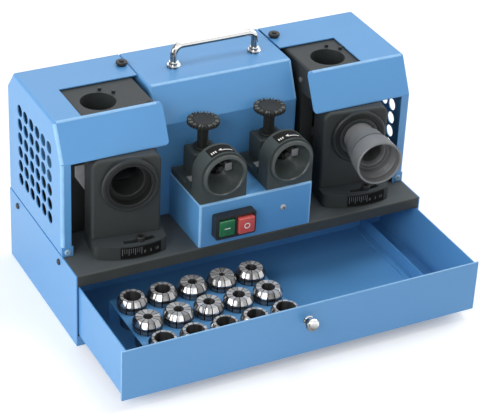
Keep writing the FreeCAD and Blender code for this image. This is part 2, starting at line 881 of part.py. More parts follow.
def button_well(stop, slack):
    """Front view of one button's well: start on the left, stop on the right."""
    middle = "(switch_left + switch_right) / 2"
    low = f"cabinet_height + switch_rise + switch_wall + {slack}"
    high = f"cabinet_height + switch_rise + switch_tall - switch_wall - {slack}"
    if stop:
        return rectangle(f"button_gap / 2 + {slack} - {middle}",
                         f"-switch_right - switch_wall - {slack}", low, high)
    return rectangle(f"switch_margin + {slack} - switch_left",
                     f"-button_gap / 2 - {slack} - {middle}", low, high)


SWITCH_FACE = "box_setback - switch_reach"


def make_switch():
    """Housing in front of the box with a well for each button."""
    body = new_piece("switch_housing")
    grow(body, "y", back(SWITCH_FACE), back("box_setback"), [switch_window("0")])
    left = number("-switch_left")
    right = number("-switch_right")
    round_edges(
        body,
        "switch_corner",
        lambda edge: (runs_along(edge, "y")
                      and (near(edge.CenterOfMass.x, left) or near(edge.CenterOfMass.x, right))),
    )
    neck = switch_window("-1 * switch_wall / 2 - hole_clearance")
    grow(body, "y", back("box_setback"), back(f"{SWITCH_FACE} + button_body + 2 * switch_wall"), [neck])
    wells = [button_well(False, "0"), button_well(True, "0")]
    carve(body, "y", back(SWITCH_FACE), back(f"{SWITCH_FACE} + button_body + switch_wall"), wells)


def make_button(name, stop, reach):
    """Push button that stands out of its well by its reach."""
    body = new_piece(name)
    face = back(f"{SWITCH_FACE} - {reach}")
    grow(body, "y", face, back(f"{SWITCH_FACE} + button_body"), [button_well(stop, "button_slack")])
    front = number(face)
    round_edges(body, "button_round", lambda edge: near(edge.CenterOfMass.y, front))


def make_box_screw():
    body = new_piece("box_screw")
    x, z = "box_screw_offset", "cabinet_height + box_screw_rise"
    face = back("box_setback")
    grow(body, "y", back("box_setback - screw_head_height"), face, circles=[(x, z, "screw_head_radius")])
    grow(body, "y", face, back("box_setback + screw_depth"), circles=[(x, z, "screw_radius")])
    front = number(back("box_setback - screw_head_height"))
    round_edges(body, "screw_head_height * 0.6", lambda edge: near(edge.CenterOfMass.y, front))


# Setting stations


SOCKET_LEVEL = f"{BOX_TOP} + socket_rise"
UPRIGHT_MIDDLE = "upright_setback + upright_depth / 2"


def make_station(name, side):
    """Arch for the conical socket and an upright for the clamp dial, on one base."""
    body = new_piece(name)
    x = f"{side} * station_offset"
    half = "station_width / 2"
    left, right = f"{x} - {half}", f"{x} + {half}"
    grow(body, "z", BOX_TOP, f"{BOX_TOP} + station_base",
         [rectangle(left, right, back("station_setback"), back("station_setback + station_length"))])
    front, rear = back("station_setback"), back("station_setback + arch_depth")
    grow(body, "y", front, rear, [rectangle(left, right, BOX_TOP, SOCKET_LEVEL)])
    grow(body, "y", front, rear, circles=[(x, SOCKET_LEVEL, half)])
    grow(body, "z", BOX_TOP, f"{BOX_TOP} + upright_rise",
         [rectangle(f"{x} - upright_width / 2", f"{x} + upright_width / 2",
                    back("upright_setback"), back("upright_setback + upright_depth"))])
    boss_front = "station_setback + arch_depth + stop_thickness"
    grow(body, "z", BOX_TOP, f"{BOX_TOP} + station_base + boss_height",
         [rectangle(left, f"{left} + boss_width", back(boss_front), back(f"{boss_front} + boss_depth"))])
    top = number(f"{BOX_TOP} + upright_rise")
    round_edges(body, "dial_chamfer", lambda edge: near(edge.CenterOfMass.z, top))
    carve(body, "y", front, rear, circles=[(x, SOCKET_LEVEL, "socket_hub_radius + hole_clearance")])
    screw = (x, back(UPRIGHT_MIDDLE), "dial_screw_radius + pivot_fit")
    carve(body, "z", f"{BOX_TOP} + upright_rise - dial_screw_length - dial_screw_room",
          f"{BOX_TOP} + upright_rise",
          circles=[screw])


def make_socket(name, side):
    """Turned ring with a conical mouth that the drill's point is set in."""
    body = new_piece(name)
    inside = "socket_reach + arch_depth"
    revolve(body, [
        ("socket_mouth_radius", "0"),
        ("socket_rim_radius - socket_chamfer", "0"),
        ("socket_rim_radius", "-socket_chamfer"),
        ("socket_rim_radius", "-socket_reach"),
        ("socket_hub_radius", "-socket_reach"),
        ("socket_hub_radius", f"-({inside})"),
        ("socket_tail_radius", f"-({inside})"),
        ("socket_tail_radius", f"-0.85 * ({inside})"),
    ])
    lay_along(body, "y", f"{side} * station_offset", back("station_setback - socket_reach"), SOCKET_LEVEL)


def make_stops():
    """Stop blades that stand on the bases behind the sockets."""
    body = new_piece("setting_stops")
    rear = "station_setback + arch_depth"
    for side in (-1, 1):
        x = f"{side} * station_offset"
        blade = rectangle(f"{x} - stop_width / 2", f"{x} + stop_width / 2",
                          back(f"{rear} + stop_thickness"), back(f"{rear} + 2 * stop_thickness"))
        grow(body, "z", f"{BOX_TOP} + station_base", f"{SOCKET_LEVEL} + stop_tall / 2", [blade])


def make_dial(name, side):
    """Clamp dial on a ribbed post, with a screw down into the upright."""
    body = new_piece(name)
    profile = [("0", "-dial_screw_length"), ("dial_screw_radius", "-dial_screw_length"),
               ("dial_screw_radius", "dial_lift"), ("post_radius", "dial_lift")]
    ribs = int(SIZES["post_ribs"])
    pitch = "(post_height - dial_lift) / post_ribs"
    for rib in range(ribs):
        foot = f"dial_lift + {rib} * {pitch}"
        profile += [("post_radius", f"{foot} + 0.6 * {pitch}"),
                    ("post_radius - post_rib_depth", f"{foot} + 0.8 * {pitch}"),
                    ("post_radius", f"{foot} + {pitch}")]
    profile[-1] = ("post_radius", "post_height")
    profile += [("dial_radius - dial_chamfer", "post_height"),
                ("dial_radius", "post_height + dial_chamfer"),
                ("dial_radius", "post_height + dial_height - dial_chamfer"),
                ("dial_radius - dial_chamfer", "post_height + dial_height"),
                ("0", "post_height + dial_height")]
    revolve(body, profile)
    place(body, f"{side} * station_offset", back(UPRIGHT_MIDDLE), f"{BOX_TOP} + upright_rise")


# Grinding heads


def make_head(name, side):
    """Cast head: wheel chamber, hood with the top port, and a recess for the port block's tongue."""
    body = new_piece(name)
    half = "head_width / 2"
    grow(body, "z", "cabinet_height", "head_shoulder",
         [rectangle(f"-{half}", half, back("head_setback"), back("head_rear"))])
    grow(body, "z", "hood_bottom", "head_top",
         [rectangle(f"-{half}", half, back("hood_setback"), back("hood_rear"))])
    top = number("head_top")
    front = number(back("hood_setback"))

    def is_hood_edge(edge):
        middle = edge.CenterOfMass
        upright = runs_along(edge, "z") and near(middle.y, front)
        return upright or (near(middle.z, top) and middle.y < number(back("hood_rear")) - 1)

    round_edges(body, "hood_radius", is_hood_edge)
    axle = (back("axle_setback"), "axle_height")
    low, high = span(side, f"chamber_wall - {half}", f"{half} + 1")
    carve(body, "x", low, high, circles=[(*axle, "chamber_radius")])
    low, high = span(side, f"-{half} - 1", f"chamber_wall - {half} + 1")
    carve(body, "x", low, high, circles=[(*axle, "shaft_hole_radius")])
    middle = "pivot_offset + port_shift"
    window = rectangle(f"{middle} - window_width / 2", f"{middle} + window_width / 2",
                       "axle_height - window_tall / 2", "axle_height + window_tall / 2")
    carve(body, "y", back("head_setback - 1"), back("pivot_setback"), [window])
    port = ("-top_port_offset", back("top_port_setback"), "top_port_radius")
    carve(body, "z", "hood_bottom", "head_top + 1", circles=[port])
    relief = ("-top_port_offset", back("top_port_setback"), "top_port_radius + top_port_relief")
    carve(body, "z", "axle_height - top_port_radius", "hood_bottom", circles=[relief])
    recess = rectangle("pivot_offset - recess_half", "pivot_offset + recess_half",
                       back("head_setback - 1"), back("recess_rear"))
    carve(body, "z", "cabinet_height - 1", "cabinet_height + recess_height", [recess])
    pins = [(*index_pin_place(which), "index_pin_radius + hole_clearance") for which in (0, 1)]
    carve(body, "z", "head_top - index_pin_depth", "head_top + 1", circles=pins)
    grub = (back("head_screw_setback"), "head_screw_height", "screw_radius + hole_clearance")
    carve(body, "x", f"-{half} - 1", f"screw_depth - {half}", circles=[grub])
    for hole in cover_screw_places("screw_radius + hole_clearance"):
        carve(body, "x", *span(side, f"{half} - screw_depth", f"{half} + 1"), circles=[hole])
    place(body, head_place(side))


def index_pin_place(which):
    """Where an index pin stands behind the top port, from the head's own middle."""
    angle = f"(index_pin_angle - {which} * index_pin_spread)"
    return (f"index_pin_circle * cos({angle}) - top_port_offset",
            back(f"top_port_setback + index_pin_circle * sin({angle})"))


def cover_screw_places(radius):
    """Three screws on a circle round the axle."""
    places = []
    for angle in (90, 210, 330):
        places.append((back(f"axle_setback + wheel_cover_screw_circle * cos({angle})"),
                       f"axle_height + wheel_cover_screw_circle * sin({angle})", radius))
    return places


def make_index_pins():
    """Two pins beside each top port that index the chuck."""
    body = new_piece("index_pins")
    circles = []
    for side in (-1, 1):
        for number_of_pin in (0, 1):
            x, y = index_pin_place(number_of_pin)
            circles.append((f"{head_place(side)} + {x}", y, "index_pin_radius"))
    grow(body, "z", "head_top - index_pin_depth", "head_top + index_pin_rise", circles=circles)


def make_head_screws():
    """Screw in the left wall of each head's hood."""
    body = new_piece("head_screws")
    place_on_wall = (back("head_screw_setback"), "head_screw_height")
    for side in (-1, 1):
        wall = f"{head_place(side)} - head_width / 2"
        grow(body, "x", f"{wall} - screw_head_height", wall, circles=[(*place_on_wall, "head_screw_radius")])
        grow(body, "x", wall, f"{wall} + screw_depth", circles=[(*place_on_wall, "screw_radius")])


def make_wheel_cover(name, side):
    """Round plate over the open side of a wheel chamber."""
    body = new_piece(name)
    near_side = f"{side} * {head_place(side)} + head_width / 2"
    low, high = span(side, near_side, f"{near_side} + wheel_cover_thickness")
    grow(body, "x", low, high, circles=[(back("axle_setback"), "axle_height", "wheel_cover_radius")])
    carve(body, "x", low, high, circles=cover_screw_places("screw_radius + hole_clearance"))


def make_wheel_cover_screws():
    body = new_piece("wheel_cover_screws")
    for side in (-1, 1):
        face = f"{side} * {head_place(side)} + head_width / 2 + wheel_cover_thickness"
        grow(body, "x", *span(side, face, f"{face} + screw_head_height"),
             circles=cover_screw_places("wheel_cover_screw_head"))
        shanks = cover_screw_places("screw_radius")
        grow(body, "x", *span(side, f"{face} - screw_depth", face), circles=shanks)


def make_guard_bracket():
    """Light tapered strap on the front of the left head, behind the port block."""
    body = new_piece("left_guard_bracket")
    left = f"{head_place(-1)} - head_width / 2 + bracket_inset"
    right = f"{left} + bracket_width"
    top = "axle_height + bracket_rise"
    bottom = f"{top} - bracket_length"
    outline = [
        (left, top),
        (left, f"{top} - bracket_shoulder"),
        (f"{right} - bracket_tip", bottom),
        (right, bottom),
        (right, top),
    ]
    grow(body, "y", back("head_setback - bracket_thickness"), back("head_setback"), [outline])


# Swivelling port blocks


PORT_FLOOR = "cabinet_height + sole_lift"
SOLE_TOP = "cabinet_height + sole_lift + sole_thickness"


def set_on_pivot(body, side):
    """Port pieces are drawn from the swivel pivot and turned to the photographed angle."""
    x = f"{head_place(side)} + pivot_offset"
    place(body, x, back("pivot_setback"), "0", Vector(0, 0, 1), "-port_angle")


def make_port_block(name, side):
    """Block with the port's bore, standing on a sector sole with an arc slot and a pivot tongue."""
    body = new_piece(name)
    reach = "sole_radius + 10"
    grow(body, "z", PORT_FLOOR, SOLE_TOP, circles=[("0", "0", "sole_radius")])
    waste = [
        rectangle(f"-({reach})", "-sole_left", f"-({reach})", reach),
        rectangle("sole_right", reach, f"-({reach})", reach),
        rectangle("-sole_left", "sole_right", "-port_cheek", reach),
    ]
    carve(body, "z", PORT_FLOOR, SOLE_TOP, waste)
    front = number("-port_front")
    round_edges(body, "sole_corner", lambda edge: runs_along(edge, "z") and edge.CenterOfMass.y < front)
    plan = [
        ("-port_left", "-port_front"),
        ("port_right", "-port_front"),
        ("port_right", "-port_cheek"),
        ("port_tail_half", "-port_tail"),
        ("-port_tail_half", "-port_tail"),
        ("-port_left", "-port_cheek"),
    ]
    grow(body, "z", PORT_FLOOR, "port_top", [plan])
    top = number("port_top")
    round_edges(
        body,
        "port_corner",
        lambda edge: runs_along(edge, "y") and near(edge.CenterOfMass.z, top),
    )
    round_edges(
        body,
        "port_edge",
        lambda edge: near(edge.CenterOfMass.y, front) and edge.CenterOfMass.z > number(SOLE_TOP) + 1,
    )
    eye = [rectangle("-tongue_half", "tongue_half", "-port_tail - 1", "0")]
    grow(body, "z", PORT_FLOOR, "cabinet_height + tongue_thickness", eye)
    grow(body, "z", PORT_FLOOR, "cabinet_height + tongue_thickness", circles=[("0", "0", "tongue_half")])
    carve(body, "z", PORT_FLOOR, "cabinet_height + tongue_thickness + 1",
          circles=[("0", "0", "pivot_radius + pivot_fit")])
    bore = ("port_shift", "axle_height", "bush_hub_radius + hole_clearance")
    carve(body, "y", "-port_front", "-port_tail", circles=[bore])
    slot = rectangle("slot_radius - slot_width / 2", "slot_radius + slot_width / 2",
                     "cabinet_height", "port_top")
    revolve(body, slot, "slot_sweep", "slot_middle - slot_sweep / 2 - 90", cut=True)
    set_on_pivot(body, side)


def make_scale(name, side):
    """Thin curved scale on the front of the sole."""
    body = new_piece(name)
    band = rectangle("sole_radius + scale_gap", "sole_radius + scale_gap + scale_thickness",
                     f"{PORT_FLOOR} + scale_margin", f"{SOLE_TOP} - scale_margin")
    revolve(body, band, "scale_sweep", "scale_from - 90")
    set_on_pivot(body, side)


def make_bush(name, side):
    """Rimmed bush in the block that guides the chuck."""
    body = new_piece(name)
    mouth = "bush_rim_height - bush_mouth_depth"
    revolve(body, [
        ("bush_mouth_radius", "bush_rim_height"),
        ("bush_rim_radius - bush_chamfer", "bush_rim_height"),
        ("bush_rim_radius", "bush_rim_height - bush_chamfer"),
        ("bush_rim_radius", "0"),
        ("bush_hub_radius", "0"),
        ("bush_hub_radius", "-bush_length"),
        ("chuck_radius + chuck_fit", "-bush_length"),
        ("chuck_radius + chuck_fit", mouth),
        ("bush_mouth_radius", mouth),
    ])
    set_on_port(body, side)


def set_on_port(body, side):
    """Turned port pieces are drawn from the block's front face, along the bore."""
    forward = Rotation(Vector(0, 0, 1), -number("port_angle")).multiply(Rotation(Vector(1, 0, 0), 90))
    body.Placement = FreeCAD.Placement(Vector(), forward)
    x = f"{head_place(side)} + pivot_offset - port_front * sin(port_angle) + port_shift * cos(port_angle)"
    y = back("pivot_setback - port_front * cos(port_angle) - port_shift * sin(port_angle)")
    for axis, formula in zip("xyz", (x, y, "axle_height")):
        body.setExpression(f"Placement.Base.{axis}", linked(formula))


def make_pivot_pins():
    body = new_piece("pivot_pins")
    spot = (back("pivot_setback"), "pivot_radius")
    circles = [(f"{head_place(side)} + pivot_offset", *spot) for side in (-1, 1)]
    grow(body, "z", "cabinet_height - pivot_sink", "cabinet_height + tongue_thickness + pivot_proud",
         circles=circles)


def make_lock_screws():
    """Cap screws through the arc slots into the base plate."""
    body = new_piece("port_lock_screws")
    row = back("pivot_setback - slot_radius")
    places = [(f"{head_place(side)} + pivot_offset", row) for side in (-1, 1)]
    seat = f"{SOLE_TOP} + sole_lift"
    grow(body, "z", "cabinet_height - lock_sink", seat, circles=[(*spot, "lock_radius") for spot in places])
    heads = [(*spot, "lock_head_radius") for spot in places]
    grow(body, "z", seat, f"{seat} + lock_head_height", circles=heads)
    sockets = [(*spot, "lock_radius * 0.75") for spot in places]
    carve(body, "z", f"{seat} + lock_head_height / 2", f"{seat} + lock_head_height", circles=sockets)


# Drill chuck


def make_chuck_body():
    """Tube that stands in the right port and carries the nut."""
    body = new_piece("chuck_body")
    end = "bush_rim_height + chuck_neck + nut_thread_length"
    revolve(body, [
        ("chuck_bore", "bush_rim_height - chuck_insert"),
        ("chuck_radius - chuck_chamfer", "bush_rim_height - chuck_insert"),
        ("chuck_radius", "bush_rim_height - chuck_insert + chuck_chamfer"),
        ("chuck_radius", end),
        ("chuck_bore + chuck_mouth_width", end),
        ("chuck_bore", f"{end} - chuck_mouth_depth"),
    ])
    set_on_port(body, 1)


def make_chuck_collar():
    """Dark collar clamped on the chuck, which stops it in the mouth of the bush."""
    body = new_piece("chuck_collar")
    low = "bush_rim_height - bush_mouth_depth + chuck_collar_gap"
    high = f"{low} + chuck_collar_thickness"
    revolve(body, [
        ("chuck_radius + hole_clearance", low),
        ("chuck_collar_radius", low),
        ("chuck_collar_radius", f"{high} - chuck_chamfer"),
        ("chuck_collar_radius - chuck_chamfer", high),
        ("chuck_radius + hole_clearance", high),
    ])
    set_on_port(body, 1)


def make_chuck_nut():
    """Flared sleeve on the chuck, grooved round and thin at its open rim."""
    body = new_piece("chuck_nut")
    foot = "bush_rim_height + chuck_neck + chuck_fit"
    rim = f"{foot} + nut_length"
    groove = f"{foot} + nut_groove_place"
    step = f"{foot} + nut_thread_length"
    flare = "(nut_rim_radius - nut_radius) * nut_groove_place / nut_length"
    groove_radius = f"nut_radius + {flare}"
    revolve(body, [
        ("chuck_radius + chuck_fit", foot),
        ("nut_radius - nut_chamfer", foot),
        ("nut_radius", f"{foot} + nut_chamfer"),
        (groove_radius, groove),
        (f"{groove_radius} - nut_groove_depth", f"{groove} + nut_groove_width / 3"),
        (f"{groove_radius} - nut_groove_depth", f"{groove} + 2 * nut_groove_width / 3"),
        (groove_radius, f"{groove} + nut_groove_width"),
        ("nut_rim_radius", rim),
        ("nut_rim_radius - nut_wall", rim),
        ("nut_radius - nut_wall", f"{step} + nut_step"),
        ("chuck_radius + chuck_fit", f"{step} + nut_step"),
    ])
    set_on_port(body, 1)


# Motor, shaft and wheels


def make_motor():
    """Motor housing on its foot, bored for the rotor and its bearings."""
    body = new_piece("motor_housing")
    axle = (back("axle_setback"), "axle_height")
    grow(body, "x", "-motor_half", "motor_half", circles=[(*axle, "motor_radius")])
    grow(body, "x", "-bell_half", "bell_half", circles=[(*axle, "bell_radius")])
    foot_front = back("axle_setback - motor_foot_depth / 2")
    foot_rear = back("axle_setback + motor_foot_depth / 2")
    foot = rectangle("-motor_foot_half", "motor_foot_half", foot_front, foot_rear)
    grow(body, "z", "cabinet_height", "axle_height - stator_bore - skin", [foot])
    carve(body, "x", "-stator_half", "stator_half", circles=[(*axle, "stator_bore")])
    carve(body, "x", "-bell_half", "bell_half", circles=[(*axle, "bearing_radius + hole_clearance")])


def make_bearings():
    """Ring bearing in each end of the motor."""
    body = new_piece("motor_bearings")
    axle = (back("axle_setback"), "axle_height")
    for side in (-1, 1):
        low, high = span(side, "bell_half - bearing_width", "bell_half")
        grow(body, "x", low, high, circles=[(*axle, "bearing_radius")])
        carve(body, "x", low, high, circles=[(*axle, "shaft_radius + shaft_fit")])


def wheel_place(side):
    """The X of a grinding wheel's middle."""
    return f"({head_place(side)} - wheel_offset)"


def make_shaft():
    """Double-ended motor shaft with the rotor in its middle."""
    body = new_piece("motor_shaft")
    axle = (back("axle_setback"), "axle_height")
    grow(body, "x", f"{wheel_place(-1)} - shaft_overhang", f"{wheel_place(1)} + shaft_overhang",
         circles=[(*axle, "shaft_radius")])
    grow(body, "x", "-rotor_half", "rotor_half", circles=[(*axle, "rotor_radius")])


def make_wheel(name, side):
    """Grinding wheel with a bevelled rim and a raised hub."""
    body = new_piece(name)
    half = "wheel_thickness / 2"
    bore = "shaft_radius + hole_clearance"
    revolve(body, [
        (bore, f"-{half}"),
        ("wheel_hub_radius", f"-{half}"),
        ("wheel_hub_radius + wheel_recess", "wheel_recess - wheel_thickness / 2"),
        ("wheel_radius - wheel_edge", "wheel_recess - wheel_thickness / 2"),
        ("wheel_radius", "-wheel_edge / 2"),
        ("wheel_radius", "wheel_edge / 2"),
        ("wheel_radius - wheel_edge", half),
        (bore, half),
    ])
    lay_along(body, "x", wheel_place(side), back("axle_setback"), "axle_height")


def make_wheel_fixings():
    """A flange on each face of each wheel, and a nut on each outer one."""
    flanges = new_piece("wheel_flanges")
    nuts = new_piece("wheel_nuts")
    axle = (back("axle_setback"), "axle_height")
    bore = (*axle, "shaft_radius + hole_clearance")
    for side in (-1, 1):
        middle = f"{side} * ({wheel_place(side)})"
        face = f"{middle} + wheel_thickness / 2"
        low, high = span(side, face, f"{face} + flange_thickness")
        grow(flanges, "x", low, high, circles=[(*axle, "flange_radius")])
        carve(flanges, "x", low, high, circles=[bore])
        face = f"{middle} - wheel_thickness / 2"
        low, high = span(side, f"{face} - flange_thickness", face)
        grow(flanges, "x", low, high, circles=[(*axle, "flange_radius")])
        carve(flanges, "x", low, high, circles=[bore])
        seat = f"{middle} + wheel_thickness / 2 + flange_thickness"
        low, high = span(side, seat, f"{seat} + nut_height")
        corners = []
        for corner in range(6):
            angle = 60 * corner
            corners.append((back(f"axle_setback + shaft_nut_radius * cos({angle})"),
                            f"axle_height + shaft_nut_radius * sin({angle})"))
        grow(nuts, "x", low, high, [corners])
        carve(nuts, "x", low, high, circles=[bore])


# Drawer


DRAWER_FRONT = "-drawer_open"
DRAWER_FLOOR = "drawer_bottom + skin"


def make_tray():
    """Folded tray, closed at its front by the drawer front."""
    body = new_piece("drawer_tray")
    rear = back(f"{DRAWER_FRONT} + drawer_length")
    plan = rectangle("-drawer_half", "drawer_half", back(DRAWER_FRONT), rear)
    grow(body, "z", "drawer_bottom", "drawer_top", [plan])
    inside = rectangle("skin - drawer_half", "drawer_half - skin", back(f"{DRAWER_FRONT} - 1"),
                       f"{rear} - skin")
    carve(body, "z", DRAWER_FLOOR, "drawer_top + 1", [inside])


def make_drawer_front():
    """Overlaid front panel with softened corners."""
    body = new_piece("drawer_front")
    face = back(f"{DRAWER_FRONT} - front_thickness")
    panel = rectangle("-front_half", "front_half", "drawer_bottom - front_overlap", "drawer_top")
    grow(body, "y", face, back(DRAWER_FRONT), [panel])
    round_edges(body, "front_corner", lambda edge: runs_along(edge, "y"))
    hole = ("pull_offset", "pull_height", "pull_neck + hole_clearance")
    carve(body, "y", face, back(DRAWER_FRONT), circles=[hole])


def make_pull():
    """Turned drawer pull with a screw neck through the panel."""
    body = new_piece("drawer_pull")
    thread = "front_thickness + pull_tail"
    revolve(body, [
        ("0", f"-({thread})"),
        ("pull_neck", f"-({thread})"),
        ("pull_neck", "0"),
        ("0.75 * pull_radius", "0"),
        ("0.6 * pull_radius", "0.3 * pull_reach"),
        ("pull_radius", "0.6 * pull_reach"),
        ("pull_radius", "0.8 * pull_reach"),
        ("0.75 * pull_radius", "pull_reach"),
        ("0", "pull_reach"),
    ])
    lay_along(body, "y", "pull_offset", back(f"{DRAWER_FRONT} - front_thickness"), "pull_height")


def make_divider():
    """Angle along the drawer's floor that keeps a narrow tool bay on the right."""
    body = new_piece("drawer_divider")
    right = "divider_offset + divider_flange"
    angle = [
        ("divider_offset", DRAWER_FLOOR),
        (right, DRAWER_FLOOR),
        (right, f"{DRAWER_FLOOR} + divider_tall"),
        (f"{right} - skin", f"{DRAWER_FLOOR} + divider_tall"),
        (f"{right} - skin", f"{DRAWER_FLOOR} + skin"),
        ("divider_offset", f"{DRAWER_FLOOR} + skin"),
    ]
    grow(body, "y", back(DRAWER_FRONT), back(f"{DRAWER_FRONT} + drawer_length - skin"), [angle])


ROWS = {"rear": 0, "middle": 1, "front": 2}


def collet_x(column):
    return f"rack_margin - rack_left + {column} * collet_pitch"


def row_y(row):
    return back(f"rack_rear - rack_row_margin - {row} * row_pitch")


def collet_taper(depth):
    """Radius of a collet's tail taper at a depth below its top."""
    shoulder = "(collet_nose + collet_land + collet_groove)"
    slope = f"(collet_radius - collet_tail_radius) / (collet_length - {shoulder})"
    return f"collet_radius - ({depth} - {shoulder}) * {slope}"


def make_rack():
    """Folded bridge in the drawer with a seat for each collet."""
    body = new_piece("collet_rack")
    left = "-rack_left"
    right = f"2 * rack_margin - rack_left + {COLLETS_PER_ROW - 1} * collet_pitch"
    rear = back("rack_rear")
    front = back(f"rack_rear - 2 * rack_row_margin - {len(ROWS) - 1} * row_pitch")
    bridge = [
        (front, DRAWER_FLOOR),
        (front, "rack_height"),
        (rear, "rack_height"),
        (rear, DRAWER_FLOOR),
        (f"{rear} - skin", DRAWER_FLOOR),
        (f"{rear} - skin", "rack_height - skin"),
        (f"{front} + skin", "rack_height - skin"),
        (f"{front} + skin", DRAWER_FLOOR),
    ]
    grow(body, "x", left, right, [bridge])
    seat = f"{collet_taper('collet_top - rack_height')} + collet_seat_gap"
    columns = range(COLLETS_PER_ROW)
    holes = [(collet_x(column), row_y(row), seat) for row in ROWS.values() for column in columns]
    carve(body, "z", "rack_height - 2 * skin", "rack_height + 1", circles=holes)


def make_collet_row(row_name):
    """A row of spring collets, each with a nose cone, a groove and a long taper."""
    body = new_piece(f"collets_{row_name}_row")
    bore = f"{row_name}_collet_bore"
    nose = "-collet_nose"
    land = f"{nose} - collet_land"
    revolve(body, [
        (bore, "0"),
        ("collet_face_radius", "0"),
        ("collet_radius", nose),
        ("collet_radius", land),
        ("collet_groove_radius", f"{land} - collet_groove / 2"),
        ("collet_radius", f"{land} - collet_groove"),
        ("collet_tail_radius", "-collet_length"),
        (bore, "-collet_length"),
    ])
    document.recompute()
    row = body.newObject("PartDesign::LinearPattern", f"{body.Label}_pattern")
    row.Originals = [item for item in body.Group if item.TypeId == "PartDesign::Revolution"]
    axis = next(item for item in body.Origin.OriginFeatures if item.Role == "X_Axis")
    row.Direction = (axis, [""])
    row.Occurrences = COLLETS_PER_ROW
    row.setExpression("Length", linked(f"{COLLETS_PER_ROW - 1} * collet_pitch"))
    body.Tip = row
    place(body, collet_x(0), row_y(ROWS[row_name]), "collet_top")


def check_pieces():
    """Stop unless every object is computed and every piece is a sound solid."""
    faults = [f"{item.Label} is {item.State}" for item in document.Objects
              if "Invalid" in item.State or "Error" in item.State]
    for piece in pieces:
        shape = piece.Shape
        if shape.isNull() or not shape.isValid() or not shape.Solids:
            faults.append(f"{piece.Label} has no sound solid")
    if faults:
        raise RuntimeError("; ".join(faults))


def write_pieces():
    os.makedirs("parts", exist_ok=True)
    for piece in pieces:
        piece.Shape.exportStep(f"parts/{piece.Label}.step")


def main():
    make_cabinet()
    make_base_plate()
    make_cabinet_screws()
    make_runners()
    make_guard("left_guard", -1, "left_notch_edge")
    make_guard("right_guard", 1, "right_notch_edge")
    make_foot_screws()
    make_guard_knob("left_guard_knob", -1)
    make_guard_knob("right_guard_knob", 1)
    make_centre_cover()
    make_handle()
    make_handle_collars()
    make_inlet()
    make_control_box()
    make_switch()
    make_button("start_button", False, "start_reach")
    make_button("stop_button", True, "stop_reach")
    make_box_screw()
    make_stops()
    make_index_pins()
    make_head_screws()
    make_wheel_cover_screws()
    make_guard_bracket()
    make_pivot_pins()
    make_lock_screws()
    for hand, side in (("left", -1), ("right", 1)):
        make_station(f"{hand}_setting_block", side)
        make_socket(f"{hand}_setting_socket", side)
        make_dial(f"{hand}_setting_dial", side)
        make_head(f"{hand}_head", side)
        make_wheel_cover(f"{hand}_wheel_cover", side)
        make_port_block(f"{hand}_port_block", side)
        make_scale(f"{hand}_scale", side)
        make_bush(f"{hand}_port_bush", side)
        make_wheel(f"{hand}_grinding_wheel", side)
    make_chuck_body()
    make_chuck_collar()
    make_chuck_nut()
    make_motor()
    make_bearings()
    make_shaft()
    make_wheel_fixings()
    make_tray()
    make_drawer_front()
    make_pull()
    make_divider()
    make_rack()
    for row_name in ROWS:
        make_collet_row(row_name)
    document.recompute()
    check_pieces()
    write_pieces()


main()
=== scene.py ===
"""Looks of a bench drill grinder: paint, castings, turned parts, collets, switch and studio."""

import json
import math

import bmesh
import bpy
from bpy.props import FloatProperty, FloatVectorProperty, IntProperty, PointerProperty
from bpy.types import Operator, Panel, PropertyGroup
from mathutils import Matrix, Vector


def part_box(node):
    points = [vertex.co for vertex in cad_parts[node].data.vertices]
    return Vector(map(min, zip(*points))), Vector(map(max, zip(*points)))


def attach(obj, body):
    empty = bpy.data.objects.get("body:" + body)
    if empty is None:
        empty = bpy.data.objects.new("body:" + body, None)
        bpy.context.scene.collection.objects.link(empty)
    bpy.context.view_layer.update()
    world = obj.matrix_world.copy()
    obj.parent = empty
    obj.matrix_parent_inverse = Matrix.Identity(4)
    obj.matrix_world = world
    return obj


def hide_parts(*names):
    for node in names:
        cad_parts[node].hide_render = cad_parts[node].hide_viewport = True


bl_info = {
    "name": "Drill grinder looks",
    "version": (1, 0, 0),
    "blender": (4, 5, 0),
    "location": "3D View > Sidebar > Grinder",
    "description": "Dresses the packed drill grinder with its paint, turned parts and studio",
    "category": "Object",
}

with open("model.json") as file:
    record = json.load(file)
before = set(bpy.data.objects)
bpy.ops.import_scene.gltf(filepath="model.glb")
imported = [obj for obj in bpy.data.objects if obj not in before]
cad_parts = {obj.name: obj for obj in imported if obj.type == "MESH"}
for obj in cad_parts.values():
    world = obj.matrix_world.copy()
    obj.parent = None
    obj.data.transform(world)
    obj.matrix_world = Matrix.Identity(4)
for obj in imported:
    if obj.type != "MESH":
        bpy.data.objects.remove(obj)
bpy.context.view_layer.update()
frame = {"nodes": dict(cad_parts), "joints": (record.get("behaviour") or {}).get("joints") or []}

MM = 0.001
nodes = frame["nodes"]
joints = {joint["name"]: joint for joint in frame["joints"]}


def length(name, description, millimetres):
    """A size in the sidebar, given here in millimetres."""
    return FloatProperty(name=name, description=description, default=millimetres * MM, min=0.0, unit="LENGTH")


def colour(name, description, red, green, blue):
    """A colour in the sidebar, in linear light."""
    return FloatVectorProperty(name=name, description=description, default=(red, green, blue), min=0.0, max=1.0,
                               subtype="COLOR")


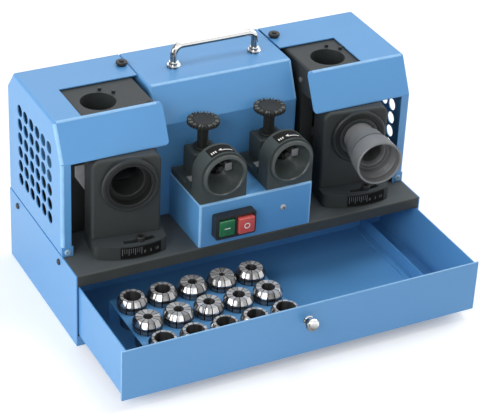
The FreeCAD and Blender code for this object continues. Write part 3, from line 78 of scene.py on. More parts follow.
class GrinderColours(PropertyGroup):
    """Colours of the machine's finishes."""

    # Painted highlight: a light blue that stands for the light caught along the folds' bends.
    fold: colour("Fold wear", "Paint worn light along the folds", 0.25, 0.49, 0.78)
    paint: colour("Paint", "Blue powder coat on the sheet metal", 0.094, 0.294, 0.585)
    plate: colour("Base plate", "Dark paint on the base plate", 0.044, 0.050, 0.047)
    casting: colour("Casting", "Dark paint on the heads and port blocks", 0.030, 0.035, 0.035)
    # Painted top light and dust: this grey lightens the faces of the castings and base plate that look up.
    dust: colour("Dust", "Grey dust that settles on the castings", 0.038, 0.045, 0.049)
    black: colour("Black", "Black finish on the sockets and bushes", 0.033, 0.039, 0.039)
    station: colour("Stations", "Dark paint on the setting stations", 0.044, 0.056, 0.055)
    # Painted shade: near-black for the insides of the ports' bores and other recesses.
    bore: colour("Painted bore shade", "Oily black inside the ports", 0.012, 0.013, 0.013)
    wear: colour("Dial wear", "Grey that shows on the dials' teeth", 0.15, 0.165, 0.16)
    plastic: colour("Plastic", "Black plastic of the switch and knobs", 0.013, 0.014, 0.014)
    start: colour("Start button", "Green button", 0.018, 0.155, 0.06)
    stop: colour("Stop button", "Red button", 0.55, 0.085, 0.08)
    chuck: colour("Chuck", "Grey phosphated steel of the chuck", 0.18, 0.186, 0.19)
    steel: colour("Steel", "Ground steel of the collets", 0.72, 0.72, 0.73)
    marks: colour("Marks", "White of the bold marks", 0.8, 0.8, 0.78)
    ticks: colour("Ticks", "Worn grey of the angle scales' ticks", 0.15, 0.16, 0.155)


class GrinderSizes(PropertyGroup):
    """Sizes of the pieces that are detailed here."""

    collet_radius: length("Collet radius", "Widest radius of a collet", 20.3)
    collet_face: length("Collet face", "Radius of a collet's front face", 16.5)
    collet_nose: length("Collet nose", "Height of a collet's nose cone", 6.6)
    collet_slit: length("Collet slit", "Width of a collet's slits at its widest", 1.5)
    collet_petals: IntProperty(name="Collet petals", description="Petals round a collet", default=12, min=4)
    neck_radius: length("Chuck neck", "Radius of the chuck's neck", 22.0)
    nut_radius: length("Chuck nut", "Radius of the chuck nut at its foot", 26.5)
    nut_rim: length("Chuck nut rim", "Radius of the chuck nut at its open rim", 32.0)
    bush_radius: length("Bush rim", "Radius of the bush's rim on the port block", 39.0)
    socket_radius: length("Socket rim", "Radius of a setting socket's rim", 31.5)
    dial_radius: length("Dial radius", "Radius of a setting dial", 22.6)
    dial_teeth: IntProperty(name="Dial teeth", description="Knurls round a setting dial", default=30, min=12)
    handle_radius: length("Handle bar", "Radius of the carrying handle's bar", 5.0)
    handle_bend: length("Handle bend", "Bend radius of the carrying handle", 12.0)


# Finishes


def group_tree(name, inputs, outputs):
    """An empty shader node group with named sockets."""
    tree = bpy.data.node_groups.new(name, "ShaderNodeTree")
    for label, kind, value in inputs:
        socket = tree.interface.new_socket(name=label, in_out="INPUT", socket_type=kind)
        socket.default_value = value
    for label, kind in outputs:
        tree.interface.new_socket(name=label, in_out="OUTPUT", socket_type=kind)
    return tree


def worked_surface():
    """Group that mottles colour and gloss and raises a fine grain, in the piece's own space."""
    name = "Worked surface"
    if name in bpy.data.node_groups:
        return bpy.data.node_groups[name]
    tree = group_tree(
        name,
        [("Colour", "NodeSocketColor", (0.5, 0.5, 0.5, 1.0)),
         ("Second colour", "NodeSocketColor", (0.4, 0.4, 0.4, 1.0)),
         ("Gloss low", "NodeSocketFloat", 0.3), ("Gloss high", "NodeSocketFloat", 0.5),
         ("Grain", "NodeSocketFloat", 900.0), ("Mottle", "NodeSocketFloat", 12.0)],
        [("Colour", "NodeSocketColor"), ("Roughness", "NodeSocketFloat"), ("Height", "NodeSocketFloat")],
    )
    make, link = tree.nodes.new, tree.links.new
    given = make("NodeGroupInput")
    result = make("NodeGroupOutput")
    place = make("ShaderNodeTexCoord")
    grain = make("ShaderNodeTexNoise")
    grain.inputs["Detail"].default_value = 3.0
    mottle = make("ShaderNodeTexNoise")
    mottle.inputs["Detail"].default_value = 4.0
    spread = make("ShaderNodeMapRange")
    spread.inputs["From Min"].default_value = 0.3
    spread.inputs["From Max"].default_value = 0.7
    tint = make("ShaderNodeMix")
    tint.data_type = "RGBA"
    gloss = make("ShaderNodeMapRange")
    gloss.inputs["From Min"].default_value = 0.25
    gloss.inputs["From Max"].default_value = 0.75
    link(place.outputs["Object"], grain.inputs["Vector"])
    link(place.outputs["Object"], mottle.inputs["Vector"])
    link(given.outputs["Grain"], grain.inputs["Scale"])
    link(given.outputs["Mottle"], mottle.inputs["Scale"])
    link(mottle.outputs["Fac"], spread.inputs["Value"])
    link(spread.outputs["Result"], tint.inputs["Factor"])
    link(given.outputs["Colour"], tint.inputs["A"])
    link(given.outputs["Second colour"], tint.inputs["B"])
    link(grain.outputs["Fac"], gloss.inputs["Value"])
    link(given.outputs["Gloss low"], gloss.inputs["To Min"])
    link(given.outputs["Gloss high"], gloss.inputs["To Max"])
    link(tint.outputs["Result"], result.inputs["Colour"])
    link(gloss.outputs["Result"], result.inputs["Roughness"])
    link(grain.outputs["Fac"], result.inputs["Height"])
    return tree


def turning_marks():
    """Group of fine rings along a turned piece's axis."""
    name = "Turning marks"
    if name in bpy.data.node_groups:
        return bpy.data.node_groups[name]
    tree = group_tree(
        name,
        [("Axis", "NodeSocketVector", (0.0, 0.0, 1.0)), ("Pitch", "NodeSocketFloat", 2500.0)],
        [("Height", "NodeSocketFloat")],
    )
    make, link = tree.nodes.new, tree.links.new
    given = make("NodeGroupInput")
    result = make("NodeGroupOutput")
    place = make("ShaderNodeTexCoord")
    along = make("ShaderNodeVectorMath")
    along.operation = "DOT_PRODUCT"
    rings = make("ShaderNodeTexNoise")
    rings.noise_dimensions = "1D"
    rings.inputs["Detail"].default_value = 2.0
    link(place.outputs["Object"], along.inputs[0])
    link(given.outputs["Axis"], along.inputs[1])
    link(along.outputs["Value"], rings.inputs["W"])
    link(given.outputs["Pitch"], rings.inputs["Scale"])
    link(rings.outputs["Fac"], result.inputs["Height"])
    return tree


def painted_top_light_and_dust():
    """Group that greys the faces that look up, more in some spots than in others: painted top light together with dust.
    """
    name = "Settled dust"
    if name in bpy.data.node_groups:
        return bpy.data.node_groups[name]
    tree = group_tree(
        name,
        [("Colour", "NodeSocketColor", (0.5, 0.5, 0.5, 1.0)), ("Dust", "NodeSocketColor", (0.4, 0.4, 0.4, 1.0))],
        [("Colour", "NodeSocketColor")],
    )
    make, link = tree.nodes.new, tree.links.new
    given = make("NodeGroupInput")
    result = make("NodeGroupOutput")
    place = make("ShaderNodeTexCoord")
    facing = make("ShaderNodeSeparateXYZ")
    upward = make("ShaderNodeMapRange")
    upward.inputs["From Min"].default_value = 0.8
    upward.inputs["From Max"].default_value = 0.98
    patches = make("ShaderNodeTexNoise")
    patches.inputs["Scale"].default_value = 35.0
    patches.inputs["Detail"].default_value = 4.0
    uneven = make("ShaderNodeMapRange")
    uneven.inputs["From Min"].default_value = 0.3
    uneven.inputs["From Max"].default_value = 0.7
    uneven.inputs["To Min"].default_value = 0.65
    amount = make("ShaderNodeMath")
    amount.operation = "MULTIPLY"
    cover = make("ShaderNodeMix")
    cover.data_type = "RGBA"
    link(place.outputs["Normal"], facing.inputs["Vector"])
    link(facing.outputs["Z"], upward.inputs["Value"])
    link(place.outputs["Object"], patches.inputs["Vector"])
    link(patches.outputs["Fac"], uneven.inputs["Value"])
    link(upward.outputs["Result"], amount.inputs[0])
    link(uneven.outputs["Result"], amount.inputs[1])
    link(amount.outputs["Value"], cover.inputs["Factor"])
    link(given.outputs["Colour"], cover.inputs["A"])
    link(given.outputs["Dust"], cover.inputs["B"])
    link(cover.outputs["Result"], result.inputs["Colour"])
    return tree


def painted_light_and_wear_of_faces():
    """Group that darkens a colour by the painted light and wear written on its faces, and sets metalness by the mirror
    gloss written there.
    """
    name = "Polish of faces"
    if name in bpy.data.node_groups:
        return bpy.data.node_groups[name]
    tree = group_tree(name, [("Colour", "NodeSocketColor", (0.5, 0.5, 0.5, 1.0))],
                      [("Colour", "NodeSocketColor"), ("Metallic", "NodeSocketFloat")])
    make, link = tree.nodes.new, tree.links.new
    given = make("NodeGroupInput")
    result = make("NodeGroupOutput")
    written = make("ShaderNodeAttribute")
    written.attribute_name = "polish"
    mirror = make("ShaderNodeAttribute")
    mirror.attribute_name = "mirror"
    shade = make("ShaderNodeMix")
    shade.data_type = "RGBA"
    shade.inputs["A"].default_value = (0.004, 0.004, 0.004, 1.0)
    link(written.outputs["Fac"], shade.inputs["Factor"])
    link(given.outputs["Colour"], shade.inputs["B"])
    link(shade.outputs["Result"], result.inputs["Colour"])
    link(mirror.outputs["Fac"], result.inputs["Metallic"])
    return tree


def painted_reflection_bands():
    """Group that paints reflections on chrome: dark and light bands set by the way its faces look, standing in for the
    reflection of a room.
    """
    name = "Mirrored room"
    if name in bpy.data.node_groups:
        return bpy.data.node_groups[name]
    tree = group_tree(name, [("Colour", "NodeSocketColor", (0.5, 0.5, 0.5, 1.0))], [("Colour", "NodeSocketColor")])
    make, link = tree.nodes.new, tree.links.new
    given = make("NodeGroupInput")
    result = make("NodeGroupOutput")
    place = make("ShaderNodeTexCoord")
    lean = make("ShaderNodeVectorMath")
    lean.operation = "DOT_PRODUCT"
    lean.inputs[1].default_value = (0.35, -0.5, 0.79)
    level = make("ShaderNodeMapRange")
    level.inputs["From Min"].default_value = -1.0
    bands = make("ShaderNodeValToRGB")
    steps = bands.color_ramp.elements
    steps[0].color, steps[1].color = (0.9, 0.91, 0.92, 1.0), (0.95, 0.95, 0.95, 1.0)
    for spot, grey in ((0.22, 0.8), (0.3, 0.1), (0.42, 0.5), (0.5, 0.06), (0.62, 0.42), (0.71, 0.1), (0.8, 1.0)):
        steps.new(spot).color = (grey, grey, 0.97 * grey, 1.0)
    tint = make("ShaderNodeMix")
    tint.data_type = "RGBA"
    tint.blend_type = "MULTIPLY"
    tint.inputs["Factor"].default_value = 1.0
    link(place.outputs["Normal"], lean.inputs[0])
    link(lean.outputs["Value"], level.inputs["Value"])
    link(level.outputs["Result"], bands.inputs["Fac"])
    link(given.outputs["Colour"], tint.inputs["A"])
    link(bands.outputs["Color"], tint.inputs["B"])
    link(tint.outputs["Result"], result.inputs["Colour"])
    return tree


def effect(tree, group):
    """A shared effect, placed in a material."""
    node = tree.nodes.new("ShaderNodeGroup")
    node.node_tree = group
    return node


def finish(name, base, second=None, gloss=(0.35, 0.5), grain=900.0, mottle=12.0, bump=0.05, metal=0.0, coat=0.0,
           turned_along=None, dust=None, painted_light_and_wear_per_face=False, painted_reflections=False, sheen=0.5):
    """A procedural finish.

    turned_along is the axis of a turned piece, and sheen the strength of its reflections. The dust colour greys the
    faces that look up, as painted top light together with dust. A finish can read the painted light and wear
    written on its faces, and chrome can take painted reflection bands.
    """
    if name in bpy.data.materials:
        return bpy.data.materials[name]
    material = bpy.data.materials.new(name)
    material.use_nodes = True
    tree = material.node_tree
    link = tree.links.new
    shader = tree.nodes["Principled BSDF"]
    shader.inputs["Metallic"].default_value = metal
    shader.inputs["Coat Weight"].default_value = coat
    shader.inputs["Coat Roughness"].default_value = 0.15
    shader.inputs["Specular IOR Level"].default_value = sheen
    surface = effect(tree, worked_surface())
    second = second or tuple(0.82 * part for part in base)
    surface.inputs["Colour"].default_value = (*base, 1.0)
    surface.inputs["Second colour"].default_value = (*second, 1.0)
    surface.inputs["Gloss low"].default_value = gloss[0]
    surface.inputs["Gloss high"].default_value = gloss[1]
    surface.inputs["Grain"].default_value = grain
    surface.inputs["Mottle"].default_value = mottle
    relief = tree.nodes.new("ShaderNodeBump")
    relief.inputs["Strength"].default_value = bump
    relief.inputs["Distance"].default_value = 0.0006
    tint = surface.outputs["Colour"]
    # Faces that look up are greyed: painted top light together with dust.
    if dust:
        top_light_and_dust_effect = effect(tree, painted_top_light_and_dust())
        top_light_and_dust_effect.inputs["Dust"].default_value = (*dust, 1.0)
        link(tint, top_light_and_dust_effect.inputs["Colour"])
        tint = top_light_and_dust_effect.outputs["Colour"]
    # Painted light and wear written on the faces darken the colour: painted shade and reflections on the collets, wear
    # on the dials.
    if painted_light_and_wear_per_face:
        painted_light_and_wear_level = effect(tree, painted_light_and_wear_of_faces())
        link(tint, painted_light_and_wear_level.inputs["Colour"])
        link(painted_light_and_wear_level.outputs["Metallic"], shader.inputs["Metallic"])
        tint = painted_light_and_wear_level.outputs["Colour"]
    # Painted reflection: chrome's colour is banded dark and light by the way its faces look.
    if painted_reflections:
        reflection_bands = effect(tree, painted_reflection_bands())
        link(tint, reflection_bands.inputs["Colour"])
        tint = reflection_bands.outputs["Colour"]
    link(tint, shader.inputs["Base Color"])
    link(surface.outputs["Roughness"], shader.inputs["Roughness"])
    height = surface.outputs["Height"]
    if turned_along:
        rings = effect(tree, turning_marks())
        rings.inputs["Axis"].default_value = turned_along
        height = rings.outputs["Height"]
    link(height, relief.inputs["Height"])
    link(relief.outputs["Normal"], shader.inputs["Normal"])
    return material


def tone(name, share=1.0):
    """A colour of the sidebar, or a share of it."""
    return tuple(share * part for part in getattr(bpy.context.scene.grinder_colours, name))


def paint():
    base = tone("paint")
    second = (0.93 * base[0], 0.95 * base[1], 0.97 * base[2])
    return finish("blue_powder_coat", base, second, gloss=(0.34, 0.46), grain=1400.0, mottle=7.0, bump=0.06, coat=0.15)


# Painted highlight along the bends of the sheet metal.
def worn_fold():
    return finish("worn_fold", tone("fold"), gloss=(0.35, 0.5), grain=1400.0, mottle=60.0, bump=0.06)


# Painted shade: the blue paint at 0.45 of its colour on the wheel covers, so that they read as shaded behind the vents.
def cover_paint():
    return finish("cover_paint", tone("paint", 0.45), gloss=(0.45, 0.6), grain=1400.0, mottle=7.0, sheen=0.3)


def plate_paint():
    return finish("plate_paint", tone("plate"), gloss=(0.5, 0.7), grain=1600.0, mottle=18.0, bump=0.12,
                  dust=tone("dust", 1.7), sheen=0.35)


def casting_paint():
    return finish("casting_paint", tone("casting"), gloss=(0.45, 0.65), grain=1100.0, mottle=20.0, bump=0.16,
                  dust=tone("dust"), sheen=0.32)


def station_paint():
    return finish("station_paint", tone("station"), gloss=(0.42, 0.6), grain=1300.0, mottle=25.0, bump=0.12,
                  sheen=0.32)


def motor_paint():
    return finish("motor_paint", (0.11, 0.12, 0.13), gloss=(0.4, 0.6), grain=1100.0, mottle=15.0, bump=0.1)


def black_finish():
    return finish("black_finish", tone("black"), gloss=(0.32, 0.48), grain=1500.0, mottle=25.0, bump=0.08, sheen=0.4)


def bush_black():
    return finish("bush_black", tone("black", 0.55), gloss=(0.38, 0.5), grain=1500.0, mottle=25.0, bump=0.05,
                  sheen=0.32)


def strip_black():
    return finish("strip_black", (0.005, 0.005, 0.005), gloss=(0.75, 0.9), grain=2000.0, bump=0.02, sheen=0.2)


def scale_plate():
    return finish("scale_plate", (0.004, 0.004, 0.004), gloss=(0.6, 0.75), grain=2000.0, mottle=30.0, bump=0.02,
                  sheen=0.12)


def black_plastic():
    return finish("moulded_plastic", tone("plastic"), gloss=(0.35, 0.5), grain=2200.0, mottle=30.0, bump=0.05)


def dial_plastic():
    return finish("dial_plastic", tone("wear"), gloss=(0.45, 0.6), grain=2200.0, mottle=300.0, bump=0.05,
                  painted_light_and_wear_per_face=True, sheen=0.28)


def button_plastic(name):
    return finish(f"{name}_button_plastic", tone(name), gloss=(0.18, 0.3), grain=1800.0, mottle=40.0, bump=0.02)


def socket_enamel():
    return finish("socket_enamel", tone("station"), gloss=(0.26, 0.36), grain=1500.0, mottle=25.0, bump=0.04)


# Painted shade in the ports' bores and other recesses.
def oily_bore():
    return finish("oily_bore", tone("bore"), gloss=(0.4, 0.6), grain=1500.0, mottle=25.0, bump=0.05, sheen=0.25)


# Painted shade on the bush's guide sleeve, a lighter copy of the bore shade.
def guide_bore():
    return finish("guide_bore", tone("bore", 2.4), gloss=(0.4, 0.6), grain=1500.0, mottle=25.0, bump=0.05, sheen=0.2)


def tick_grey():
    return finish("tick_grey", tone("ticks"), gloss=(0.5, 0.6), grain=2500.0, mottle=400.0, bump=0.02)


def mark_white():
    return finish("mark_white", tone("marks"), gloss=(0.5, 0.6), grain=2500.0, mottle=60.0, bump=0.02)


def grinding_grit():
    return finish("grinding_grit", (0.20, 0.18, 0.15), (0.10, 0.09, 0.08), gloss=(0.7, 0.95), grain=2600.0,
                  mottle=700.0, bump=0.5)


# Chrome whose colour carries painted reflection bands.
def chrome():
    return finish("chrome_plate", (0.84, 0.85, 0.86), (0.76, 0.77, 0.78), gloss=(0.05, 0.1), grain=700.0, mottle=15.0,
                  bump=0.01, metal=1.0, painted_reflections=True)


def satin(name, base, gloss=(0.4, 0.55), metal=0.1):
    """Plated or plain steel that is too dull to mirror anything."""
    return finish(name, base, gloss=gloss, grain=2000.0, mottle=90.0, bump=0.04, metal=metal)


def zinc():
    return satin("zinc_plate", (0.48, 0.49, 0.50), metal=0.2)


# Painted light: near-white zinc on the guard bracket that stands for the light it catches inside the guard.
def bright_zinc():
    return satin("bright_zinc", (0.84, 0.85, 0.86))


def blue_zinc():
    return satin("blue_zinc", (0.26, 0.42, 0.57), gloss=(0.35, 0.5))


def grey_steel():
    return satin("grey_steel", (0.16, 0.165, 0.17))


def bright_steel():
    return finish("screw_steel", (0.62, 0.63, 0.65), gloss=(0.25, 0.4), grain=2000.0, mottle=40.0, bump=0.03,
                  metal=1.0)


def dark_steel():
    return finish("blackened_steel", (0.035, 0.036, 0.038), gloss=(0.3, 0.45), grain=2000.0, mottle=40.0, bump=0.05,
                  metal=0.6)


def dull_steel():
    return finish("dull_steel", (0.13, 0.13, 0.135), gloss=(0.45, 0.6), grain=1500.0, mottle=40.0, bump=0.05,
                  metal=0.7)


def collet_steel():
    return finish("ground_collets", tone("steel"), gloss=(0.12, 0.2), grain=1500.0, mottle=60.0, bump=0.02, metal=1.0,
                  turned_along=(0.0, 0.0, 1.0), painted_light_and_wear_per_face=True)


def chuck_steel():
    return finish("chuck_steel", tone("chuck"), gloss=(0.42, 0.55), grain=1500.0, mottle=30.0, bump=0.1, metal=0.2,
                  turned_along=tuple(joints["chuck_nut_turn"]["axis"]), sheen=0.4)


# Shaping


def spun(profile, steps=72, closed=False, sweep=2.0 * math.pi):
    """A piece turned round Z from corners of radius and height in millimetres."""
    bm = bmesh.new()
    corners = [bm.verts.new((radius * MM, 0.0, height * MM)) for radius, height in profile]
    edges = [bm.edges.new(pair) for pair in zip(corners, corners[1:])]
    if closed:
        edges.append(bm.edges.new((corners[-1], corners[0])))
    full = sweep > 2.0 * math.pi - 1e-6
    bmesh.ops.spin(bm, geom=corners + edges, cent=(0.0, 0.0, 0.0), axis=(0.0, 0.0, 1.0), dvec=(0.0, 0.0, 0.0),
                   angle=sweep, steps=steps, use_merge=full, use_duplicate=False)
    bmesh.ops.remove_doubles(bm, verts=bm.verts, dist=1e-6)
    bmesh.ops.dissolve_degenerate(bm, edges=bm.edges, dist=1e-7)
    if not full:
        bmesh.ops.holes_fill(bm, edges=bm.edges, sides=0)
    bmesh.ops.recalc_face_normals(bm, faces=bm.faces)
    return bm


def block(low, high):
    """A box between two corners in millimetres."""
    low, high = Vector(low) * MM, Vector(high) * MM
    bm = bmesh.new()
    size = high - low
    bmesh.ops.create_cube(bm, size=1.0, matrix=Matrix.Translation((low + high) / 2) @ Matrix.Diagonal((*size, 1.0)))
    return bm


def soften(bm, width, segments=2, steepest=30.0):
    """Round every edge steeper than an angle, by a width in millimetres."""
    limit = math.radians(steepest)
    sharp = [edge for edge in bm.edges if len(edge.link_faces) == 2 and edge.calc_face_angle() > limit]
    bmesh.ops.bevel(bm, geom=sharp, offset=width * MM, offset_type="OFFSET", segments=segments, profile=0.5,
                    affect="EDGES", clamp_overlap=True, material=-1)
    return bm


def numeral(text, tall):
    """A flat plain number, its foot on X and its middle at the origin, as a thin solid."""
    curve = bpy.data.curves.new("numeral", "FONT")
    curve.body = text
    curve.size = tall * MM
    curve.align_x = "CENTER"
    curve.extrude = 0.0001
    carrier = bpy.data.objects.new("numeral", curve)
    bpy.context.scene.collection.objects.link(carrier)
    bpy.context.view_layer.update()
    mesh = bpy.data.meshes.new_from_object(carrier.evaluated_get(bpy.context.evaluated_depsgraph_get()))
    bm = bmesh.new()
    bm.from_mesh(mesh)
    bpy.data.objects.remove(carrier)
    bpy.data.curves.remove(curve)
    bpy.data.meshes.remove(mesh)
    bmesh.ops.remove_doubles(bm, verts=bm.verts, dist=1e-7)
    return bm


def turned(degrees, axis):
    return Matrix.Rotation(math.radians(degrees), 4, axis)


def moved(bm, matrix):
    bmesh.ops.transform(bm, matrix=matrix, verts=bm.verts)
    return bm


def joined(parts):
    """Several shapes as one."""
    whole = bmesh.new()
    for part in parts:
        carrier = bpy.data.meshes.new("carrier")
        part.to_mesh(carrier)
        part.free()
        whole.from_mesh(carrier)
        bpy.data.meshes.remove(carrier)
    return whole


def show(name, bm, body, material, replaced=(), crease=35.0):
    """A finished piece that rides on a body."""
    mesh = bpy.data.meshes.new(name)
    bm.to_mesh(mesh)
    bm.free()
    mesh.materials.append(material)
    mesh.shade_smooth()
    mesh.set_sharp_from_angle(angle=math.radians(crease))
    piece = bpy.data.objects.new(name, mesh)
    bpy.context.scene.collection.objects.link(piece)
    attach(piece, body)
    if replaced:
        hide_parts(*replaced)
    return piece


def coat(material, *names):
    """Give carried-over nodes a finish."""
    for name in names:
        for slot in nodes[name].material_slots:
            slot.material = material


# Places


PORT_TURN = turned(-8.0, "Z")
FACE_FORWARD = turned(90.0, "X")
BORE_LEVEL = 208.5
STATION_X, STATION_FRONT, SOCKET_LEVEL = 49.5, -124.5, 214.0
UPRIGHT_TOP = 222.0
GUARD_TOP = 300.0


def at(x, y, z):
    """A place in millimetres."""
    return Matrix.Translation(Vector((x, y, z)) * MM)


def port_place(hand):
    """From a port's swivel pivot to the machine."""
    x, y, _ = joints[f"{hand}_port_swivel"]["pos_m"]
    return Matrix.Translation((x, y, 0.0)) @ PORT_TURN


def bore_place(hand):
    """From the middle of a port block's front face, looking out of its bore."""
    return port_place(hand) @ at(2.5, -82.0, BORE_LEVEL) @ FACE_FORWARD


# Pieces


class GRINDER_OT_sheet_metal(Operator):
    """Paint the cabinet, guards, covers and drawer"""

    bl_idname = "grinder.sheet_metal"
    bl_label = "Sheet metal"

    def rod(self, start, end, radius):
        """A thin rod between two points in millimetres."""
        start, end = Vector(start) * MM, Vector(end) * MM
        bm = bmesh.new()
        turn = (end - start).to_track_quat("Z", "Y").to_matrix().to_4x4()
        bmesh.ops.create_cone(bm, cap_ends=True, segments=32, radius1=radius * MM, radius2=radius * MM,
                              depth=(end - start).length, matrix=Matrix.Translation((start + end) / 2) @ turn)
        return bm

    def box_folds(self):
        """Painted highlights along the bends of the control box, rods a hair proud of its paint."""
        low, high = (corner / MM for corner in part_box("control_box"))
        bend, proud = 2.5, 2.57
        left, right, front, top = low.x + bend, high.x - bend, low.y + bend, high.z - bend
        runs = [((left, front, low.z + 0.6), (left, front, top)), ((right, front, low.z + 0.6), (right, front, top)),
                ((left, front, top), (right, front, top)), ((left, front, top), (left, high.y - 1.0, top))]
        parts = [self.rod(start, end, proud) for start, end in runs]
        for x in (left, right):
            ball = bmesh.new()
            bmesh.ops.create_uvsphere(ball, u_segments=24, v_segments=16, radius=proud * MM, matrix=at(x, front, top))
            parts.append(ball)
        return joined(parts)

    def bend(self, start, end, first, last, radius=4.0):
        """A skin over a bend that carries a painted highlight, between the ways that its two faces look."""
        first, last = Vector(first).normalized(), Vector(last).normalized()
        run = Vector(end) - Vector(start)
        axis = first.cross(last).normalized()
        foot = Vector(start if run.dot(axis) > 0.0 else end) * MM
        inner, outer = radius - 0.4, radius + 0.06
        skin = [(inner, 0.0), (outer, 0.0), (outer, run.length), (inner, run.length)]
        turn = Matrix((first, axis.cross(first), axis)).transposed().to_4x4()
        return moved(spun(skin, steps=8, closed=True, sweep=first.angle(last)), Matrix.Translation(foot) @ turn)

    def guard_folds(self):
        """Painted highlights over the bends of the guards' and the cover's brows, by their bend axes in the machine."""
        front, up, left, right = (0, -1, 0), (0, 0, 1), (-1, 0, 0), (1, 0, 0)
        brow, cover_brow = (0, -50, 26), (0, -50, 24)
        return joined([
            self.bend((-256, -68.5, 124.5), (-256, -68.5, 249.0), left, front),
            self.bend((-256, -68.5, 249.0), (-256, -44.1, 296), left, brow),
            self.bend((-256, -44.1, 296), (-116, -44.1, 296), brow, up),
            self.bend((116, -44.1, 296), (256, -44.1, 296), brow, up),
            self.bend((-103, 1.0, 296), (103, 1.0, 296), cover_brow, up),
            self.bend((103, -21.5, 249.2), (103, 1.0, 296), cover_brow, right),
        ])

    def rear_lips(self):
        """A lip inside each guard's rear wall over the cabinet's seam, and strips in the seams beside the cover."""
        foot, bevel, crest = 110.5, 271.0, 298.0
        lips = []
        for side in (-1, 1):
            left, right = sorted((109.0 * side, 256.5 * side))
            lips.append(block((left, 119.2, 110.1), (right, 120.7, 122.0)))
            left, right = sorted((107.1 * side, 107.9 * side))
            lips.append(block((left, 104.0, foot), (right, 121.0, bevel)))
            lips.append(block((left, 94.0, bevel), (right, 98.0, crest)))
        return joined(lips)

    def drawer_edge(self):
        """Painted highlight along the top and the left end of the drawer front."""
        low, high = (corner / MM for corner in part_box("drawer_front"))
        wide, proud, skin = 0.5, 0.06, 0.05
        top = block((low.x, low.y - skin, high.z - wide), (high.x, high.y + skin, high.z + proud))
        end = block((low.x - proud, low.y - skin, low.z + wide), (low.x + wide, high.y + skin, high.z - wide))
        return joined([top, end])

    def execute(self, context):
        show("box_fold_wear", self.box_folds(), "frame", worn_fold())
        show("guard_fold_wear", self.guard_folds(), "frame", worn_fold())
        show("drawer_edge_wear", self.drawer_edge(), "drawer", worn_fold())
        show("guard_rear_lips", self.rear_lips(), "frame", paint())
        coat(paint(), "cabinet_shell", "left_guard", "right_guard", "centre_cover", "control_box", "drawer_tray",
             "drawer_front", "drawer_divider", "collet_rack", "drawer_runners")
        coat(plate_paint(), "base_plate")
        # The bracket's near-white zinc is painted light.
        coat(bright_zinc(), "left_guard_bracket")
        return {"FINISHED"}


class GRINDER_OT_castings(Operator):
    """Finish the heads, port blocks, wheel covers and setting blocks"""

    bl_idname = "grinder.castings"
    bl_label = "Castings"

    def execute(self, context):
        coat(casting_paint(), "left_head", "right_head", "left_port_block", "right_port_block")
        coat(cover_paint(), "left_wheel_cover", "right_wheel_cover")
        coat(station_paint(), "left_setting_block", "right_setting_block")
        coat(dark_steel(), "index_pins", "wheel_cover_screws")
        coat(grey_steel(), "head_screws")
        coat(bright_steel(), "pivot_pins")
        return {"FINISHED"}


class GRINDER_OT_drive(Operator):
    """Finish the motor, shaft, bearings, wheels and inlet"""

    bl_idname = "grinder.drive"
    bl_label = "Drive"

    def execute(self, context):
        coat(grinding_grit(), "left_grinding_wheel", "right_grinding_wheel")
        coat(motor_paint(), "motor_housing")
        coat(dull_steel(), "motor_bearings", "motor_shaft", "wheel_flanges", "wheel_nuts")
        coat(black_plastic(), "power_inlet")
        return {"FINISHED"}


